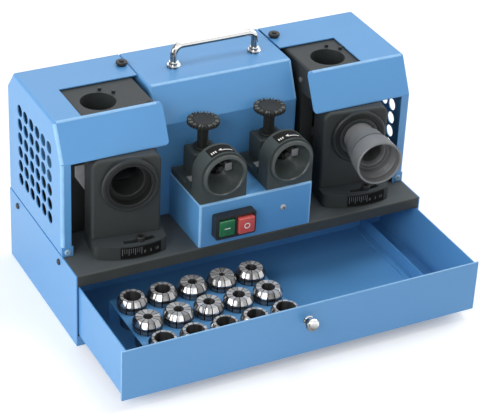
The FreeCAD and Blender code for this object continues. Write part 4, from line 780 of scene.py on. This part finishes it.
class GRINDER_OT_collets(Operator):
    """Spring collets with slits, nose cones and a range of bores"""

    bl_idname = "grinder.collets"
    bl_label = "Collets"

    bores = {"rear": (11.5, 10.5, 6.0, 3.5, 7.5), "middle": (6.0, 6.5, 7.5, 8.0, 8.8),
             "front": (12.5, 12.0, 12.5, 12.0, 12.8)}
    seam, foot, foot_radius = -36.0, -44.0, 15.8
    # Painted reflections: the light and dark that each petal's flank takes in turn round a collet.
    painted_petal_reflections = (1.0, 0.4, 0.85, 0.22, 0.55, 1.0, 0.3, 0.7, 0.45, 1.0, 0.25, 0.65)

    def polish(self, bm, sizes, spots):
        """Write each face's painted light: painted shade, dark in the bores and slits and darker on the lower body, and
        painted reflections petal by petal on the flanks and tops.
        """
        for name in ("polish", "mirror"):
            bm.faces.layers.float.new(name)
        layer, mirror = bm.faces.layers.float["polish"], bm.faces.layers.float["mirror"]
        for face in bm.faces:
            middle = face.calc_center_median()
            spot, bore, turn = min(spots, key=lambda item: (item[0] - middle).xy.length)
            arm = (middle - spot).xy
            outward = face.normal.xy.dot(arm.normalized()) if arm.length else 0.0
            petal = int((math.atan2(arm.y, arm.x) - turn) * sizes.collet_petals / (2.0 * math.pi) + 24.0)
            painted_light_and_wear_level = self.painted_petal_reflections[petal % len(self.painted_petal_reflections)]
            face[mirror] = 0.9
            # Tops take painted reflections, bores and slits painted shade, the lower body a painted shade and the
            # flanks their petal's painted reflection.
            if face.normal.z > 0.9 and middle.z > spot.z - 0.001:
                face[layer] = 0.45 + 0.5 * painted_light_and_wear_level
                face[mirror] = 0.25
            elif outward < 0.5 or arm.length < (bore + 1.0) * MM:
                face[layer] = 0.03 + 0.1 * painted_light_and_wear_level
                face[mirror] = 0.3
            elif middle.z < spot.z - sizes.collet_nose - 0.0015:
                face[layer] = 0.3
            else:
                face[layer] = painted_light_and_wear_level
        return bm

    def petals(self, sizes, bore):
        """The petals of one collet from its front face down, the ring that they spring from and a dark liner that
        carries the painted shade of its bore.
        """
        widest = sizes.collet_radius / MM
        face = sizes.collet_face / MM
        nose = -sizes.collet_nose / MM
        count = sizes.collet_petals
        land = nose - 2.2
        groove = land - 3.0
        seam_radius = widest - (widest - self.foot_radius) * (groove - self.seam) / (groove - self.foot)
        profile = [(bore + 0.5, 0.0), (face - 0.3, 0.0), (face, -0.3), (widest - 0.2, nose + 0.3), (widest, nose),
                   (widest, land), (widest - 2.4, land - 0.7), (widest - 2.4, groove + 0.7), (widest, groove),
                   (seam_radius, self.seam), (bore, self.seam), (bore, -0.5)]
        gap = sizes.collet_slit / sizes.collet_radius
        sweep = 2.0 * math.pi / count - gap
        parts = []
        for petal in range(count):
            part = spun(profile, steps=5, closed=True, sweep=sweep)
            parts.append(moved(part, turned(360.0 * petal / count, "Z")))
        ring = [(bore, self.seam), (seam_radius, self.seam), (self.foot_radius + 0.4, self.foot + 0.4),
                (self.foot_radius, self.foot), (bore, self.foot)]
        parts.append(spun(ring, steps=56, closed=True))
        liner = [(bore - 0.15, self.seam), (bore + 0.7, self.seam), (bore + 0.7, -1.2), (bore - 0.15, -1.2)]
        parts.append(spun(liner, steps=56, closed=True))
        return parts

    def execute(self, context):
        sizes = context.scene.grinder_sizes
        for row, bores in self.bores.items():
            node = f"collets_{row}_row"
            low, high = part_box(node)
            middle = (low.y + high.y) / 2
            pitch = (high.x - low.x - 2.0 * sizes.collet_radius) / (len(bores) - 1)
            parts, spots = [], []
            for column, bore in enumerate(bores):
                spot = Vector((low.x + sizes.collet_radius + column * pitch, middle, high.z))
                turn = 0.37 * column + 0.2 * len(row)
                place = Matrix.Translation(spot) @ Matrix.Rotation(turn, 4, "Z")
                parts += [moved(part, place) for part in self.petals(sizes, bore)]
                spots.append((spot, bore, turn))
            rings = self.polish(joined(parts), sizes, spots)
            show(f"{row}_collets", rings, "drawer", collet_steel(), [node], crease=25.0)
        return {"FINISHED"}


class GRINDER_OT_chuck(Operator):
    """Chuck body, collar and flared nut with its groove and inner thread"""

    bl_idname = "grinder.chuck"
    bl_label = "Chuck"

    def execute(self, context):
        sizes = context.scene.grinder_sizes
        neck = sizes.neck_radius / MM
        place = bore_place("right")
        tube = spun([(16.0, -44.0), (neck - 1.0, -44.0), (neck, -43.0), (neck, 51.0), (19.0, 51.0), (16.0, 46.0)],
                    steps=96, closed=True)
        show("chuck_tube", moved(soften(tube, 0.4), place), "chuck", chuck_steel(), ["chuck_body"])
        collar = spun([(neck + 0.1, -6.7), (28.9, -6.7), (28.9, 5.3), (27.9, 6.3), (neck + 0.1, 6.3)], steps=96,
                      closed=True)
        show("chuck_stop_collar", moved(soften(collar, 0.3), place), "chuck", black_finish(),
             ["chuck_collar"])
        foot, rim = 27.05, 81.05
        nut, edge = sizes.nut_radius / MM, sizes.nut_rim / MM
        groove = foot + 24.0
        swell = edge - 1.9
        outside = [(neck + 0.1, foot), (nut - 1.5, foot), (nut, foot + 1.5), (nut + 0.3, foot + 9.0),
                   (swell - 0.6, groove - 2.0), (swell, groove), (swell - 2.4, groove + 0.2),
                   (swell - 2.4, groove + 1.6), (swell, groove + 1.8), (edge - 0.2, rim - 6.0), (edge, rim - 0.8),
                   (edge - 0.8, rim)]
        inside = [(edge - 2.4, rim), (edge - 3.0, rim - 1.0)]
        for turn in range(7):
            level = rim - 12.0 - 1.8 * turn
            wall = edge - 3.4 - 0.22 * turn
            inside += [(wall, level), (wall - 0.7, level - 0.9)]
        inside += [(swell - 5.0, foot + 25.0), (neck + 0.1, foot + 25.0)]
        sleeve = spun(outside + inside, steps=96, closed=True)
        show("chuck_sleeve_nut", moved(sleeve, place), "chuck_sleeve", chuck_steel(), ["chuck_nut"],
             crease=22.0)
        return {"FINISHED"}


class GRINDER_OT_ports(Operator):
    """Rimmed bushes and angle scales of the swivelling ports"""

    bl_idname = "grinder.ports"
    bl_label = "Ports"

    scale_radius = 112.1
    scale_low, scale_high = 112.3, 128.3

    def ticks(self, hand):
        """Worn ticks that hang from the top of the scale's left half, every third one long."""
        parts = []
        for step in range(10):
            tall, half = (10.5, 0.36) if step % 3 == 0 else (7.5, 0.26)
            top = self.scale_high - 0.8
            tick = block((self.scale_radius - 0.3, -half, top - tall), (self.scale_radius + 0.12, half, top))
            parts.append(moved(tick, turned(-97.3 + 13.5 * step / 9, "Z")))
        return moved(joined(parts), port_place(hand))

    def numerals(self, hand):
        """Plain numbers in the scale's right half."""
        parts = []
        for step in range(3):
            stand = turned(-81.5 + 4.6 * step, "Z") @ at(self.scale_radius + 0.05, 0.0, self.scale_low + 5.5)
            upright = turned(90.0, "Z") @ FACE_FORWARD
            parts.append(moved(numeral(str(step * 5), 6.0), stand @ upright))
        return moved(joined(parts), port_place(hand))

    def execute(self, context):
        sizes = context.scene.grinder_sizes
        rim = sizes.bush_radius / MM
        guide = sizes.neck_radius / MM + 0.05
        wall, inner_end = 33.7, -45.0
        coat(scale_plate(), "left_scale", "right_scale")
        for hand in ("left", "right"):
            place, body = bore_place(hand), f"{hand}_port"
            ring = spun([(wall, 6.4), (34.1, 6.4), (34.5, 7.0), (rim - 1.6, 7.0), (rim, 5.4), (rim, 0.0), (35.5, 0.0),
                         (35.5, inner_end), (wall, inner_end)], steps=112, closed=True)
            show(f"{hand}_rimmed_bush", moved(ring, place), body, bush_black(),
                 [f"{hand}_port_bush"], crease=28.0)
            # The bush's inner lip and guide sleeve carry painted shade.
            lip = spun([(29.5, 7.0), (32.9, 7.0), (33.3, 6.4), (wall, 6.4), (wall, -8.0), (guide + 1.2, -8.0),
                        (guide + 1.2, -7.0), (28.5, -7.0), (28.8, -6.6), (28.8, 6.2)], steps=112, closed=True)
            show(f"{hand}_bush_bore", moved(lip, place), body, oily_bore(), crease=28.0)
            sleeve = spun([(guide, -8.2), (guide + 0.9, -7.3), (33.6, -8.1), (33.6, inner_end), (guide, inner_end)],
                          steps=112, closed=True)
            show(f"{hand}_bush_guide", moved(sleeve, place), body, guide_bore(), crease=28.0)
            show(f"{hand}_scale_ticks", self.ticks(hand), body, tick_grey())
            show(f"{hand}_scale_numbers", self.numerals(hand), body, tick_grey())
        return {"FINISHED"}


class GRINDER_OT_stations(Operator):
    """Setting sockets, their marked rings and the knurled setting dials"""

    bl_idname = "grinder.stations"
    bl_label = "Setting stations"

    rubbed_teeth = (1.0, 0.25, 0.7, 0.1, 0.95, 0.4, 0.15)
    arch_radius = 34.0

    def dial(self, sizes):
        """Knurled disc on a ribbed post with a foot flange, from the top of its upright."""
        rim = sizes.dial_radius / MM
        teeth = sizes.dial_teeth
        disc = spun([(0.0, 42.2), (9.0, 42.2), (9.5, 42.6), (13.6, 42.6), (14.2, 41.9), (15.6, 41.9), (16.2, 42.9),
                     (rim - 1.5, 42.9), (rim - 0.4, 41.9), (rim - 0.4, 37.6), (rim - 1.4, 36.4), (11.0, 33.5),
                     (8.0, 30.0)], steps=teeth * 4)
        bmesh.ops.holes_fill(disc, edges=disc.edges, sides=0)
        for vert in disc.verts:
            valley = round(math.atan2(vert.co.y, vert.co.x) * 2 * teeth / math.pi) % 4 > 1
            if valley and vert.co.xy.length > (rim - 1.6) * MM:
                vert.co.xy *= 1.0 - 1.6 / rim
            if valley and vert.co.xy.length > 16.0 * MM and vert.co.z > 41.5 * MM:
                vert.co.z -= 1.8 * MM
        post = [(5.0, 0.3), (12.5, 0.3), (13.0, 0.8), (13.0, 2.6), (12.2, 3.4), (7.6, 3.8)]
        for rib in range(8):
            foot = 4.6 + 3.1 * rib
            post += [(7.6, foot + 1.9), (6.9, foot + 2.3), (6.9, foot + 2.7), (7.6, foot + 3.1)]
        post += [(7.6, 30.6), (5.0, 30.6)]
        shank = spun([(0.0, -20.0), (4.2, -20.0), (5.0, -19.2), (5.0, 0.5)], steps=32)
        bmesh.ops.holes_fill(shank, edges=shank.edges, sides=0)
        dial = joined([disc, spun(post, steps=48, closed=True), shank])
        worn = dial.faces.layers.float.new("polish")
        for face in dial.faces:
            middle = face.calc_center_median() / MM
            tooth = int((math.atan2(middle.y, middle.x) / math.pi + 1.0) * teeth / 2.0)
            rubbed = self.rubbed_teeth[tooth % len(self.rubbed_teeth)]
            face[worn] = rubbed if middle.z > 41.9 and middle.xy.length > 16.0 else 0.08
        return dial

    def ring_marks(self, side):
        """Dark strip with a plain white arrow and bars over the top of a station's arch."""
        under, over = self.arch_radius, self.arch_radius + 0.25
        low, high = self.arch_radius + 0.1, self.arch_radius + 0.4
        place = at(side * STATION_X, -105.0, SOCKET_LEVEL) @ FACE_FORWARD
        strip = spun([(under, -8.0), (over, -8.0), (over, 12.0), (under, 12.0)], steps=24, closed=True,
                     sweep=math.radians(62.0))
        arrow = bmesh.new()
        bmesh.ops.create_cone(arrow, cap_ends=True, segments=3, radius1=3.2 * MM, radius2=3.2 * MM, depth=0.5 * MM,
                              matrix=at(self.arch_radius + 0.15, 0.0, 4.5) @ turned(90.0, "Y"))
        marks = [moved(arrow, place @ turned(93.0, "Z"))]
        for angle in (116.0, 111.0, 106.0):
            marks.append(moved(block((low, -0.8, 3.6), (high, 0.8, 7.6)), place @ turned(angle, "Z")))
        line = spun([(low, 5.0), (high, 5.0), (high, 6.6), (low, 6.6)], steps=12, closed=True,
                    sweep=math.radians(25.0))
        marks.append(moved(line, place @ turned(64.0, "Z")))
        return moved(strip, place @ turned(60.0, "Z")), joined(marks)

    def stops(self):
        """Stop blades that reach into the sockets with a grey plate, a dark pin beside each plate, and a dark block at
        the plate's left that paints the shade of the socket's recess.
        """
        low, high = (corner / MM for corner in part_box("setting_stops"))
        blades, painted_shade_backing = [], []
        for side in (-1, 1):
            x = side * STATION_X
            blades.append(soften(block((x + 4.5, -112.5, 216.0), (x + 14.5, -110.9, 227.0)), 0.5))
            blades.append(soften(block((x + 7.0, -111.2, 217.0), (x + 11.0, low.y + 0.5, 225.0)), 0.5))
            blades.append(soften(block((x + 4.0, low.y, low.z), (x + 14.0, high.y, high.z)), 0.6))
            painted_shade_backing.append(soften(block((x - 13.0, low.y + 0.5, low.z), (x + 3.8, high.y, high.z)), 0.6))
            pin = spun([(0.0, 0.0), (3.6, 0.0), (4.4, -0.8), (4.4, -22.0), (0.0, -22.0)], steps=32)
            painted_shade_backing.append(moved(pin, at(x - 1.0, -111.5, 219.0) @ FACE_FORWARD))
        return joined(blades), joined(painted_shade_backing)

    def boss_pad(self, hand):
        """Bare grey top of the small boss at a station's left."""
        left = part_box(f"{hand}_setting_block")[0].x / MM
        return soften(block((left + 0.6, -88.0, 194.8), (left + 11.4, -75.1, 195.6)), 0.3)

    def execute(self, context):
        sizes = context.scene.grinder_sizes
        rim = sizes.socket_radius / MM
        cone = [(27.0, 0.0), (rim - 1.4, 0.0), (rim - 0.4, -0.4), (rim, -1.4), (rim, -4.4), (rim - 0.5, -5.0),
                (28.0, -5.0), (28.0, -32.0), (11.0, -32.0), (11.0, -27.2), (12.7, -25.8), (16.0, -21.0), (22.0, -9.5),
                (25.6, -3.0), (25.9, -1.2)]
        blades, painted_shade_backing = self.stops()
        show("stop_blades", blades, "frame", grey_steel(), ["setting_stops"])
        # The dark block and pin in the socket's recess take the painted shade finish.
        show("stop_backing", painted_shade_backing, "frame", oily_bore())
        for hand, side in (("left", -1), ("right", 1)):
            place = at(side * STATION_X, STATION_FRONT, SOCKET_LEVEL) @ FACE_FORWARD
            show(f"{hand}_conical_socket", moved(spun(cone, steps=96, closed=True), place), "frame", socket_enamel(),
                 [f"{hand}_setting_socket"])
            x, y, _ = joints[f"{hand}_dial_turn"]["pos_m"]
            place = Matrix.Translation((x, y, UPRIGHT_TOP * MM))
            show(f"{hand}_knurled_dial", moved(self.dial(sizes), place), f"{hand}_dial", dial_plastic(),
                 [f"{hand}_setting_dial"], crease=28.0)
            strip, ticks = self.ring_marks(side)
            show(f"{hand}_mark_strip", strip, "frame", strip_black())
            show(f"{hand}_boss_pad", self.boss_pad(hand), "frame", chuck_steel())
            show(f"{hand}_mark_ticks", ticks, "frame", mark_white())
        return {"FINISHED"}


class GRINDER_OT_switch(Operator):
    """Push buttons with their marks in the switch housing"""

    bl_idname = "grinder.switch"
    bl_label = "Switch"

    def execute(self, context):
        coat(black_plastic(), "switch_housing")
        for name, slot in (("start", "green_plastic"), ("stop", "red_plastic")):
            low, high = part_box(f"{name}_button")
            low.z, high.z = low.z + 1.0 * MM, high.z - 2.2 * MM
            cap = soften(block(low / MM, high / MM), 1.3, segments=4)
            show(f"{name}_cap", cap, name, button_plastic(name), [f"{name}_button"])
            middle = (low + high) / 2 / MM
            face = low.y / MM
            if name == "start":
                mark = block((middle.x - 4.2, face - 0.1, middle.z - 0.7), (middle.x + 4.2, face + 0.3, middle.z + 0.7))
            else:
                ring = spun([(3.0, -0.3), (4.3, -0.3), (4.3, 0.1), (3.0, 0.1)], steps=32, closed=True)
                mark = moved(ring, at(middle.x, face, middle.z) @ FACE_FORWARD)
            show(f"{name}_mark", mark, name, mark_white())
        return {"FINISHED"}


class GRINDER_OT_handle(Operator):
    """Bent carrying handle and its stepped collars"""

    bl_idname = "grinder.handle"
    bl_label = "Carrying handle"

    def execute(self, context):
        sizes = context.scene.grinder_sizes
        low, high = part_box("carry_handle")
        radius, bend = sizes.handle_radius, sizes.handle_bend
        left, right = low.x + radius, high.x - radius
        y = (low.y + high.y) / 2
        crest = high.z - radius
        bm = bmesh.new()
        bmesh.ops.create_circle(bm, cap_ends=True, segments=32, radius=radius,
                                matrix=Matrix.Translation((left, y, low.z)))
        rim = bm.edges[:]
        rim = self.run(bm, rim, (0.0, 0.0, crest - bend - low.z))
        rim = self.corner(bm, rim, (left + bend, y, crest - bend))
        rim = self.run(bm, rim, (right - left - 2.0 * bend, 0.0, 0.0))
        rim = self.corner(bm, rim, (right - bend, y, crest - bend))
        rim = self.run(bm, rim, (0.0, 0.0, low.z - crest + bend))
        bmesh.ops.edgeloop_fill(bm, edges=rim)
        bmesh.ops.recalc_face_normals(bm, faces=bm.faces)
        show("bent_handle", bm, "frame", chrome(), ["carry_handle"])
        collars = []
        for x in (left, right):
            collar = spun([(5.1, 0.0), (9.5, 0.0), (9.5, 3.2), (8.9, 4.0), (7.0, 4.0), (7.0, 7.2), (6.4, 8.0),
                           (5.1, 8.0)], steps=48, closed=True)
            collars.append(moved(collar, Matrix.Translation((x, y, low.z))))
        show("stepped_collars", joined(collars), "frame", chrome(), ["handle_collars"])
        return {"FINISHED"}

    def run(self, bm, rim, step):
        """Carry an edge loop straight on."""
        grown = bmesh.ops.extrude_edge_only(bm, edges=rim)["geom"]
        bmesh.ops.translate(bm, vec=step, verts=[item for item in grown if isinstance(item, bmesh.types.BMVert)])
        return [item for item in grown if isinstance(item, bmesh.types.BMEdge)]

    def corner(self, bm, rim, centre):
        """Carry an edge loop round a quarter bend."""
        verts = list({vert for edge in rim for vert in edge.verts})
        grown = bmesh.ops.spin(bm, geom=verts + rim, cent=centre, axis=(0.0, 1.0, 0.0), dvec=(0.0, 0.0, 0.0),
                               angle=math.radians(90.0), steps=10, use_merge=False, use_duplicate=False)["geom_last"]
        return [item for item in grown if isinstance(item, bmesh.types.BMEdge)]


class GRINDER_OT_knobs(Operator):
    """Guard thumb knobs and the drawer pull"""

    bl_idname = "grinder.knobs"
    bl_label = "Knobs"

    def execute(self, context):
        for hand in ("left", "right"):
            low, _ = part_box(f"{hand}_guard_knob")
            x, y, _ = joints[f"{hand}_thumb_knob_turn"]["pos_m"]
            stem = GUARD_TOP - low.z / MM
            head = spun([(0.0, 8.2), (2.8, 8.2), (3.4, 7.6), (3.4, 6.2), (7.2, 6.0), (8.0, 5.2), (8.0, 2.6),
                         (7.2, 1.8), (4.6, 1.6), (4.6, 0.6), (6.4, 0.4), (6.4, 0.1), (2.9, 0.1), (2.9, -stem + 0.4),
                         (2.5, -stem), (0.0, -stem)], steps=48)
            for vert in head.verts:
                radius = vert.co.xy.length / MM
                lobe = round(math.atan2(vert.co.y, vert.co.x) * 24 / math.pi)
                if radius > 7.5 and lobe % 2:
                    vert.co.xy *= 1.0 - 0.5 / radius
            show(f"{hand}_thumb_knob", moved(head, Matrix.Translation((x, y, GUARD_TOP * MM))), f"{hand}_thumb_knob",
                 black_plastic(), [f"{hand}_guard_knob"])
        low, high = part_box("drawer_pull")
        middle = (low + high) / 2
        reach = 16.0
        front = low.y / MM + reach
        tail = front - high.y / MM
        pull = spun([(0.0, reach - 0.3), (5.5, reach), (7.2, reach - 0.4), (8.8, reach - 1.8), (9.5, reach - 3.8),
                     (9.5, reach - 5.4), (8.9, reach - 6.6), (6.6, reach - 9.2), (5.7, reach - 11.2), (6.0, 2.0),
                     (7.1, 0.8), (7.1, 0.0), (3.9, 0.0), (3.9, tail), (0.0, tail)], steps=64)
        place = at(middle.x / MM, front, middle.z / MM) @ FACE_FORWARD
        show("turned_pull", moved(pull, place), "drawer", chrome(), ["drawer_pull"])
        return {"FINISHED"}


class GRINDER_OT_fasteners(Operator):
    """Screws of the cabinet, guards, control box and port blocks"""

    bl_idname = "grinder.fasteners"
    bl_label = "Fasteners"

    def socket_head(self, radius, height, socket, shank, depth, domed):
        """A screw with a six-sided socket, standing up from its seat."""
        shoulder = 0.45 * height if domed else height - 0.6
        crown = 0.78 * radius if domed else radius - 0.6
        bm = spun([(1.05 * socket, height), (crown, height), (radius - 0.25, shoulder + 0.3), (radius, shoulder),
                   (radius, 0.0), (shank, 0.0), (shank, -depth), (0.0, -depth)], steps=24)
        hexagon = bmesh.ops.create_circle(bm, cap_ends=False, segments=6, radius=socket * MM,
                                          matrix=at(0.0, 0.0, height))["verts"]
        rim = [edge for edge in bm.edges if edge.is_boundary]
        side = list({edge for vert in hexagon for edge in vert.link_edges})
        bmesh.ops.bridge_loops(bm, edges=list(set(rim + side)))
        grown = bmesh.ops.extrude_edge_only(bm, edges=side)["geom"]
        deep = [item for item in grown if isinstance(item, bmesh.types.BMVert)]
        bmesh.ops.translate(bm, vec=(0.0, 0.0, -0.6 * height * MM), verts=deep)
        bmesh.ops.holes_fill(bm, edges=bm.edges, sides=0)
        bmesh.ops.recalc_face_normals(bm, faces=bm.faces)
        return bm

    def cross_head(self, radius, height, shank, depth):
        """A domed screw, standing up from its seat, with crossed arms that stand for its recess."""
        bm = spun([(0.0, height), (0.35 * radius, 0.97 * height), (0.7 * radius, 0.8 * height),
                   (0.93 * radius, 0.45 * height), (radius, 0.0), (shank, 0.0), (shank, -depth), (0.0, -depth)],
                  steps=32)
        far, half, low, high = 0.55 * radius, 0.09 * radius, 0.75 * height, 1.06 * height
        arms = [block((-far, -half, low), (far, half, high)), block((-half, -far, low), (half, far, high))]
        return bm, joined(arms)

    def execute(self, context):
        screws = []
        for side in (-1, 1):
            for y in (-61.5, 91.5):
                face = at(side * 260.0, y, 97.0) @ turned(90.0 * side, "Y")
                screws.append(moved(self.socket_head(4.5, 2.2, 1.6, 2.0, 9.0, True), face))
        show("cabinet_side_screws", joined(screws), "frame", dark_steel(), ["cabinet_screws"])
        screws = []
        for side in (-1, 1):
            seat = at(side * 252.0, -72.5, 116.5) @ FACE_FORWARD
            screws.append(moved(self.socket_head(4.5, 2.2, 1.5, 2.0, 9.0, True), seat))
        show("guard_screws", joined(screws), "frame", blue_zinc(), ["guard_foot_screws"])
        low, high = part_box("box_screw")
        middle = (low + high) / 2 / MM
        seat = at(middle.x, low.y / MM + 2.2, middle.z) @ FACE_FORWARD
        screw, cross = self.cross_head(4.5, 2.1, 2.0, 9.0)
        show("panel_screw", moved(screw, seat), "frame", zinc(), ["box_screw"])
        # The crossed arms are near-black: painted shade of the screw's recess.
        show("panel_screw_cross", moved(cross, seat @ Matrix.Rotation(0.5, 4, "Z")), "frame", oily_bore())
        small = moved(self.socket_head(3.4, 1.6, 1.3, 1.6, 0.4, True), at(-121.5, -37.9, 297.0))
        show("head_top_screw", small, "frame", dark_steel())
        screws = []
        for hand in ("left", "right"):
            x, y, _ = joints[f"{hand}_port_swivel"]["pos_m"]
            seat = Matrix.Translation((x, y - 0.1, 0.1306))
            screws.append(moved(self.socket_head(6.0, 6.0, 2.6, 3.0, 30.0, False), seat))
        show("swivel_lock_screws", joined(screws), "frame", dark_steel(), ["port_lock_screws"])
        return {"FINISHED"}


class GRINDER_OT_stage(Operator):
    """Pale floor, soft lamps, white surroundings and the camera"""

    bl_idname = "grinder.stage"
    bl_label = "Stage"

    middle = Vector((0.0, -0.05, 0.13))
    lamps = (
        ("side", (-2.1, 0.0, 0.7), 1.4, 24.0),
        ("key", (-1.4, -1.2, 1.3), 0.9, 14.0),
        ("front", (-0.2, -2.3, 1.0), 1.4, 4.0),
        ("top", (0.6, -0.2, 2.1), 1.0, 13.0),
        ("right", (1.8, 0.2, 1.2), 1.6, 15.0),
        ("rear", (0.2, 1.4, 1.6), 1.6, 4.0),
    )

    def seen_rays(self, tree):
        """One for the rays that show the background: straight, mirrored or through glass."""
        rays = tree.nodes.new("ShaderNodeLightPath")
        seen = rays.outputs["Is Camera Ray"]
        for kind in ("Is Glossy Ray", "Is Transmission Ray"):
            either = tree.nodes.new("ShaderNodeMath")
            either.operation = "MAXIMUM"
            tree.links.new(seen, either.inputs[0])
            tree.links.new(rays.outputs[kind], either.inputs[1])
            seen = either.outputs["Value"]
        return seen

    def floor(self):
        """A pale floor that keeps the shadow near the machine and fades to white farther off."""
        bm = bmesh.new()
        bmesh.ops.create_grid(bm, x_segments=1, y_segments=1, size=6.0)
        mesh = bpy.data.meshes.new("floor")
        bm.to_mesh(mesh)
        bm.free()
        material = bpy.data.materials.new("studio_floor")
        material.use_nodes = True
        tree = material.node_tree
        make, link = tree.nodes.new, tree.links.new
        shader = tree.nodes["Principled BSDF"]
        shader.inputs["Base Color"].default_value = (0.86, 0.86, 0.86, 1.0)
        shader.inputs["Roughness"].default_value = 0.7
        shader.inputs["Specular IOR Level"].default_value = 0.1
        place = make("ShaderNodeTexCoord")
        away = make("ShaderNodeVectorMath")
        away.operation = "LENGTH"
        fade = make("ShaderNodeMapRange")
        for socket, value in (("From Min", 0.7), ("From Max", 2.0), ("To Min", 0.22), ("To Max", 0.62)):
            fade.inputs[socket].default_value = value
        lift = make("ShaderNodeMath")
        lift.operation = "MULTIPLY"
        link(place.outputs["Object"], away.inputs[0])
        link(away.outputs["Value"], fade.inputs["Value"])
        link(self.seen_rays(tree), lift.inputs[0])
        link(fade.outputs["Result"], lift.inputs[1])
        shader.inputs["Emission Color"].default_value = (1.0, 1.0, 1.0, 1.0)
        link(lift.outputs["Value"], shader.inputs["Emission Strength"])
        mesh.materials.append(material)
        piece = bpy.data.objects.new("floor", mesh)
        bpy.context.scene.collection.objects.link(piece)

    def lamp(self, name, place, size, power):
        """A round soft lamp that looks at the middle of the machine."""
        light = bpy.data.lights.new(name, "AREA")
        light.shape = "DISK"
        light.size = size
        light.energy = power
        piece = bpy.data.objects.new(name, light)
        piece.location = place
        piece.rotation_euler = (self.middle - Vector(place)).to_track_quat("-Z", "Y").to_euler()
        bpy.context.scene.collection.objects.link(piece)

    def surroundings(self, context):
        """A soft even light that is plain white where it is seen."""
        world = bpy.data.worlds.new("studio")
        context.scene.world = world
        world.use_nodes = True
        tree = world.node_tree
        make, link = tree.nodes.new, tree.links.new
        tree.nodes.clear()
        mix = make("ShaderNodeMixShader")
        out = make("ShaderNodeOutputWorld")
        link(self.seen_rays(tree), mix.inputs["Fac"])
        lighting, shown = 0.42, 1.0
        for place, strength in ((1, lighting), (2, shown)):
            glow = make("ShaderNodeBackground")
            glow.inputs["Color"].default_value = (1.0, 1.0, 1.0, 1.0)
            glow.inputs["Strength"].default_value = strength
            link(glow.outputs["Background"], mix.inputs[place])
        link(mix.outputs["Shader"], out.inputs["Surface"])

    def camera(self, context):
        """A long lens from the front left, above the machine and a little rolled."""
        aim, distance = Vector((0.01726, -0.0425, 0.10085)), 2.5554
        azimuth, elevation, roll = (math.radians(angle) for angle in (-27.967, 31.62, 2.796))
        back = Vector((math.sin(azimuth) * math.cos(elevation), -math.cos(azimuth) * math.cos(elevation),
                       math.sin(elevation)))
        lens = bpy.data.cameras.new("camera")
        lens.sensor_width = 36.0
        lens.lens = 137.81
        piece = bpy.data.objects.new("camera", lens)
        turn = (-back).to_track_quat("-Z", "Y").to_matrix().to_4x4() @ Matrix.Rotation(roll, 4, "Z")
        piece.matrix_world = Matrix.Translation(aim + back * distance) @ turn
        context.scene.collection.objects.link(piece)
        context.scene.camera = piece

    def execute(self, context):
        self.floor()
        for name, place, size, power in self.lamps:
            self.lamp(name, place, size, power)
        self.surroundings(context)
        self.camera(context)
        context.scene.view_settings.view_transform = "Standard"
        return {"FINISHED"}


class GRINDER_PT_sidebar(Panel):
    """Lists the pieces and the stage"""

    bl_label = "Drill grinder"
    bl_idname = "GRINDER_PT_sidebar"
    bl_space_type = "VIEW_3D"
    bl_region_type = "UI"
    bl_category = "Grinder"

    def draw(self, context):
        for operator in OPERATORS:
            self.layout.operator(operator.bl_idname)
        for group in (context.scene.grinder_colours, context.scene.grinder_sizes):
            for name in group.__annotations__:
                self.layout.prop(group, name)


OPERATORS = (
    GRINDER_OT_sheet_metal,
    GRINDER_OT_castings,
    GRINDER_OT_drive,
    GRINDER_OT_collets,
    GRINDER_OT_chuck,
    GRINDER_OT_ports,
    GRINDER_OT_stations,
    GRINDER_OT_switch,
    GRINDER_OT_handle,
    GRINDER_OT_knobs,
    GRINDER_OT_fasteners,
    GRINDER_OT_stage,
)
CLASSES = (GrinderColours, GrinderSizes, *OPERATORS, GRINDER_PT_sidebar)


def register():
    for item in CLASSES:
        bpy.utils.register_class(item)
    bpy.types.Scene.grinder_colours = PointerProperty(type=GrinderColours)
    bpy.types.Scene.grinder_sizes = PointerProperty(type=GrinderSizes)


def unregister():
    del bpy.types.Scene.grinder_sizes
    del bpy.types.Scene.grinder_colours
    for item in reversed(CLASSES):
        bpy.utils.unregister_class(item)


def main():
    register()
    for operator in OPERATORS:
        group, name = operator.bl_idname.split(".")
        getattr(getattr(bpy.ops, group), name)()


if __name__ == "__main__":
    main()
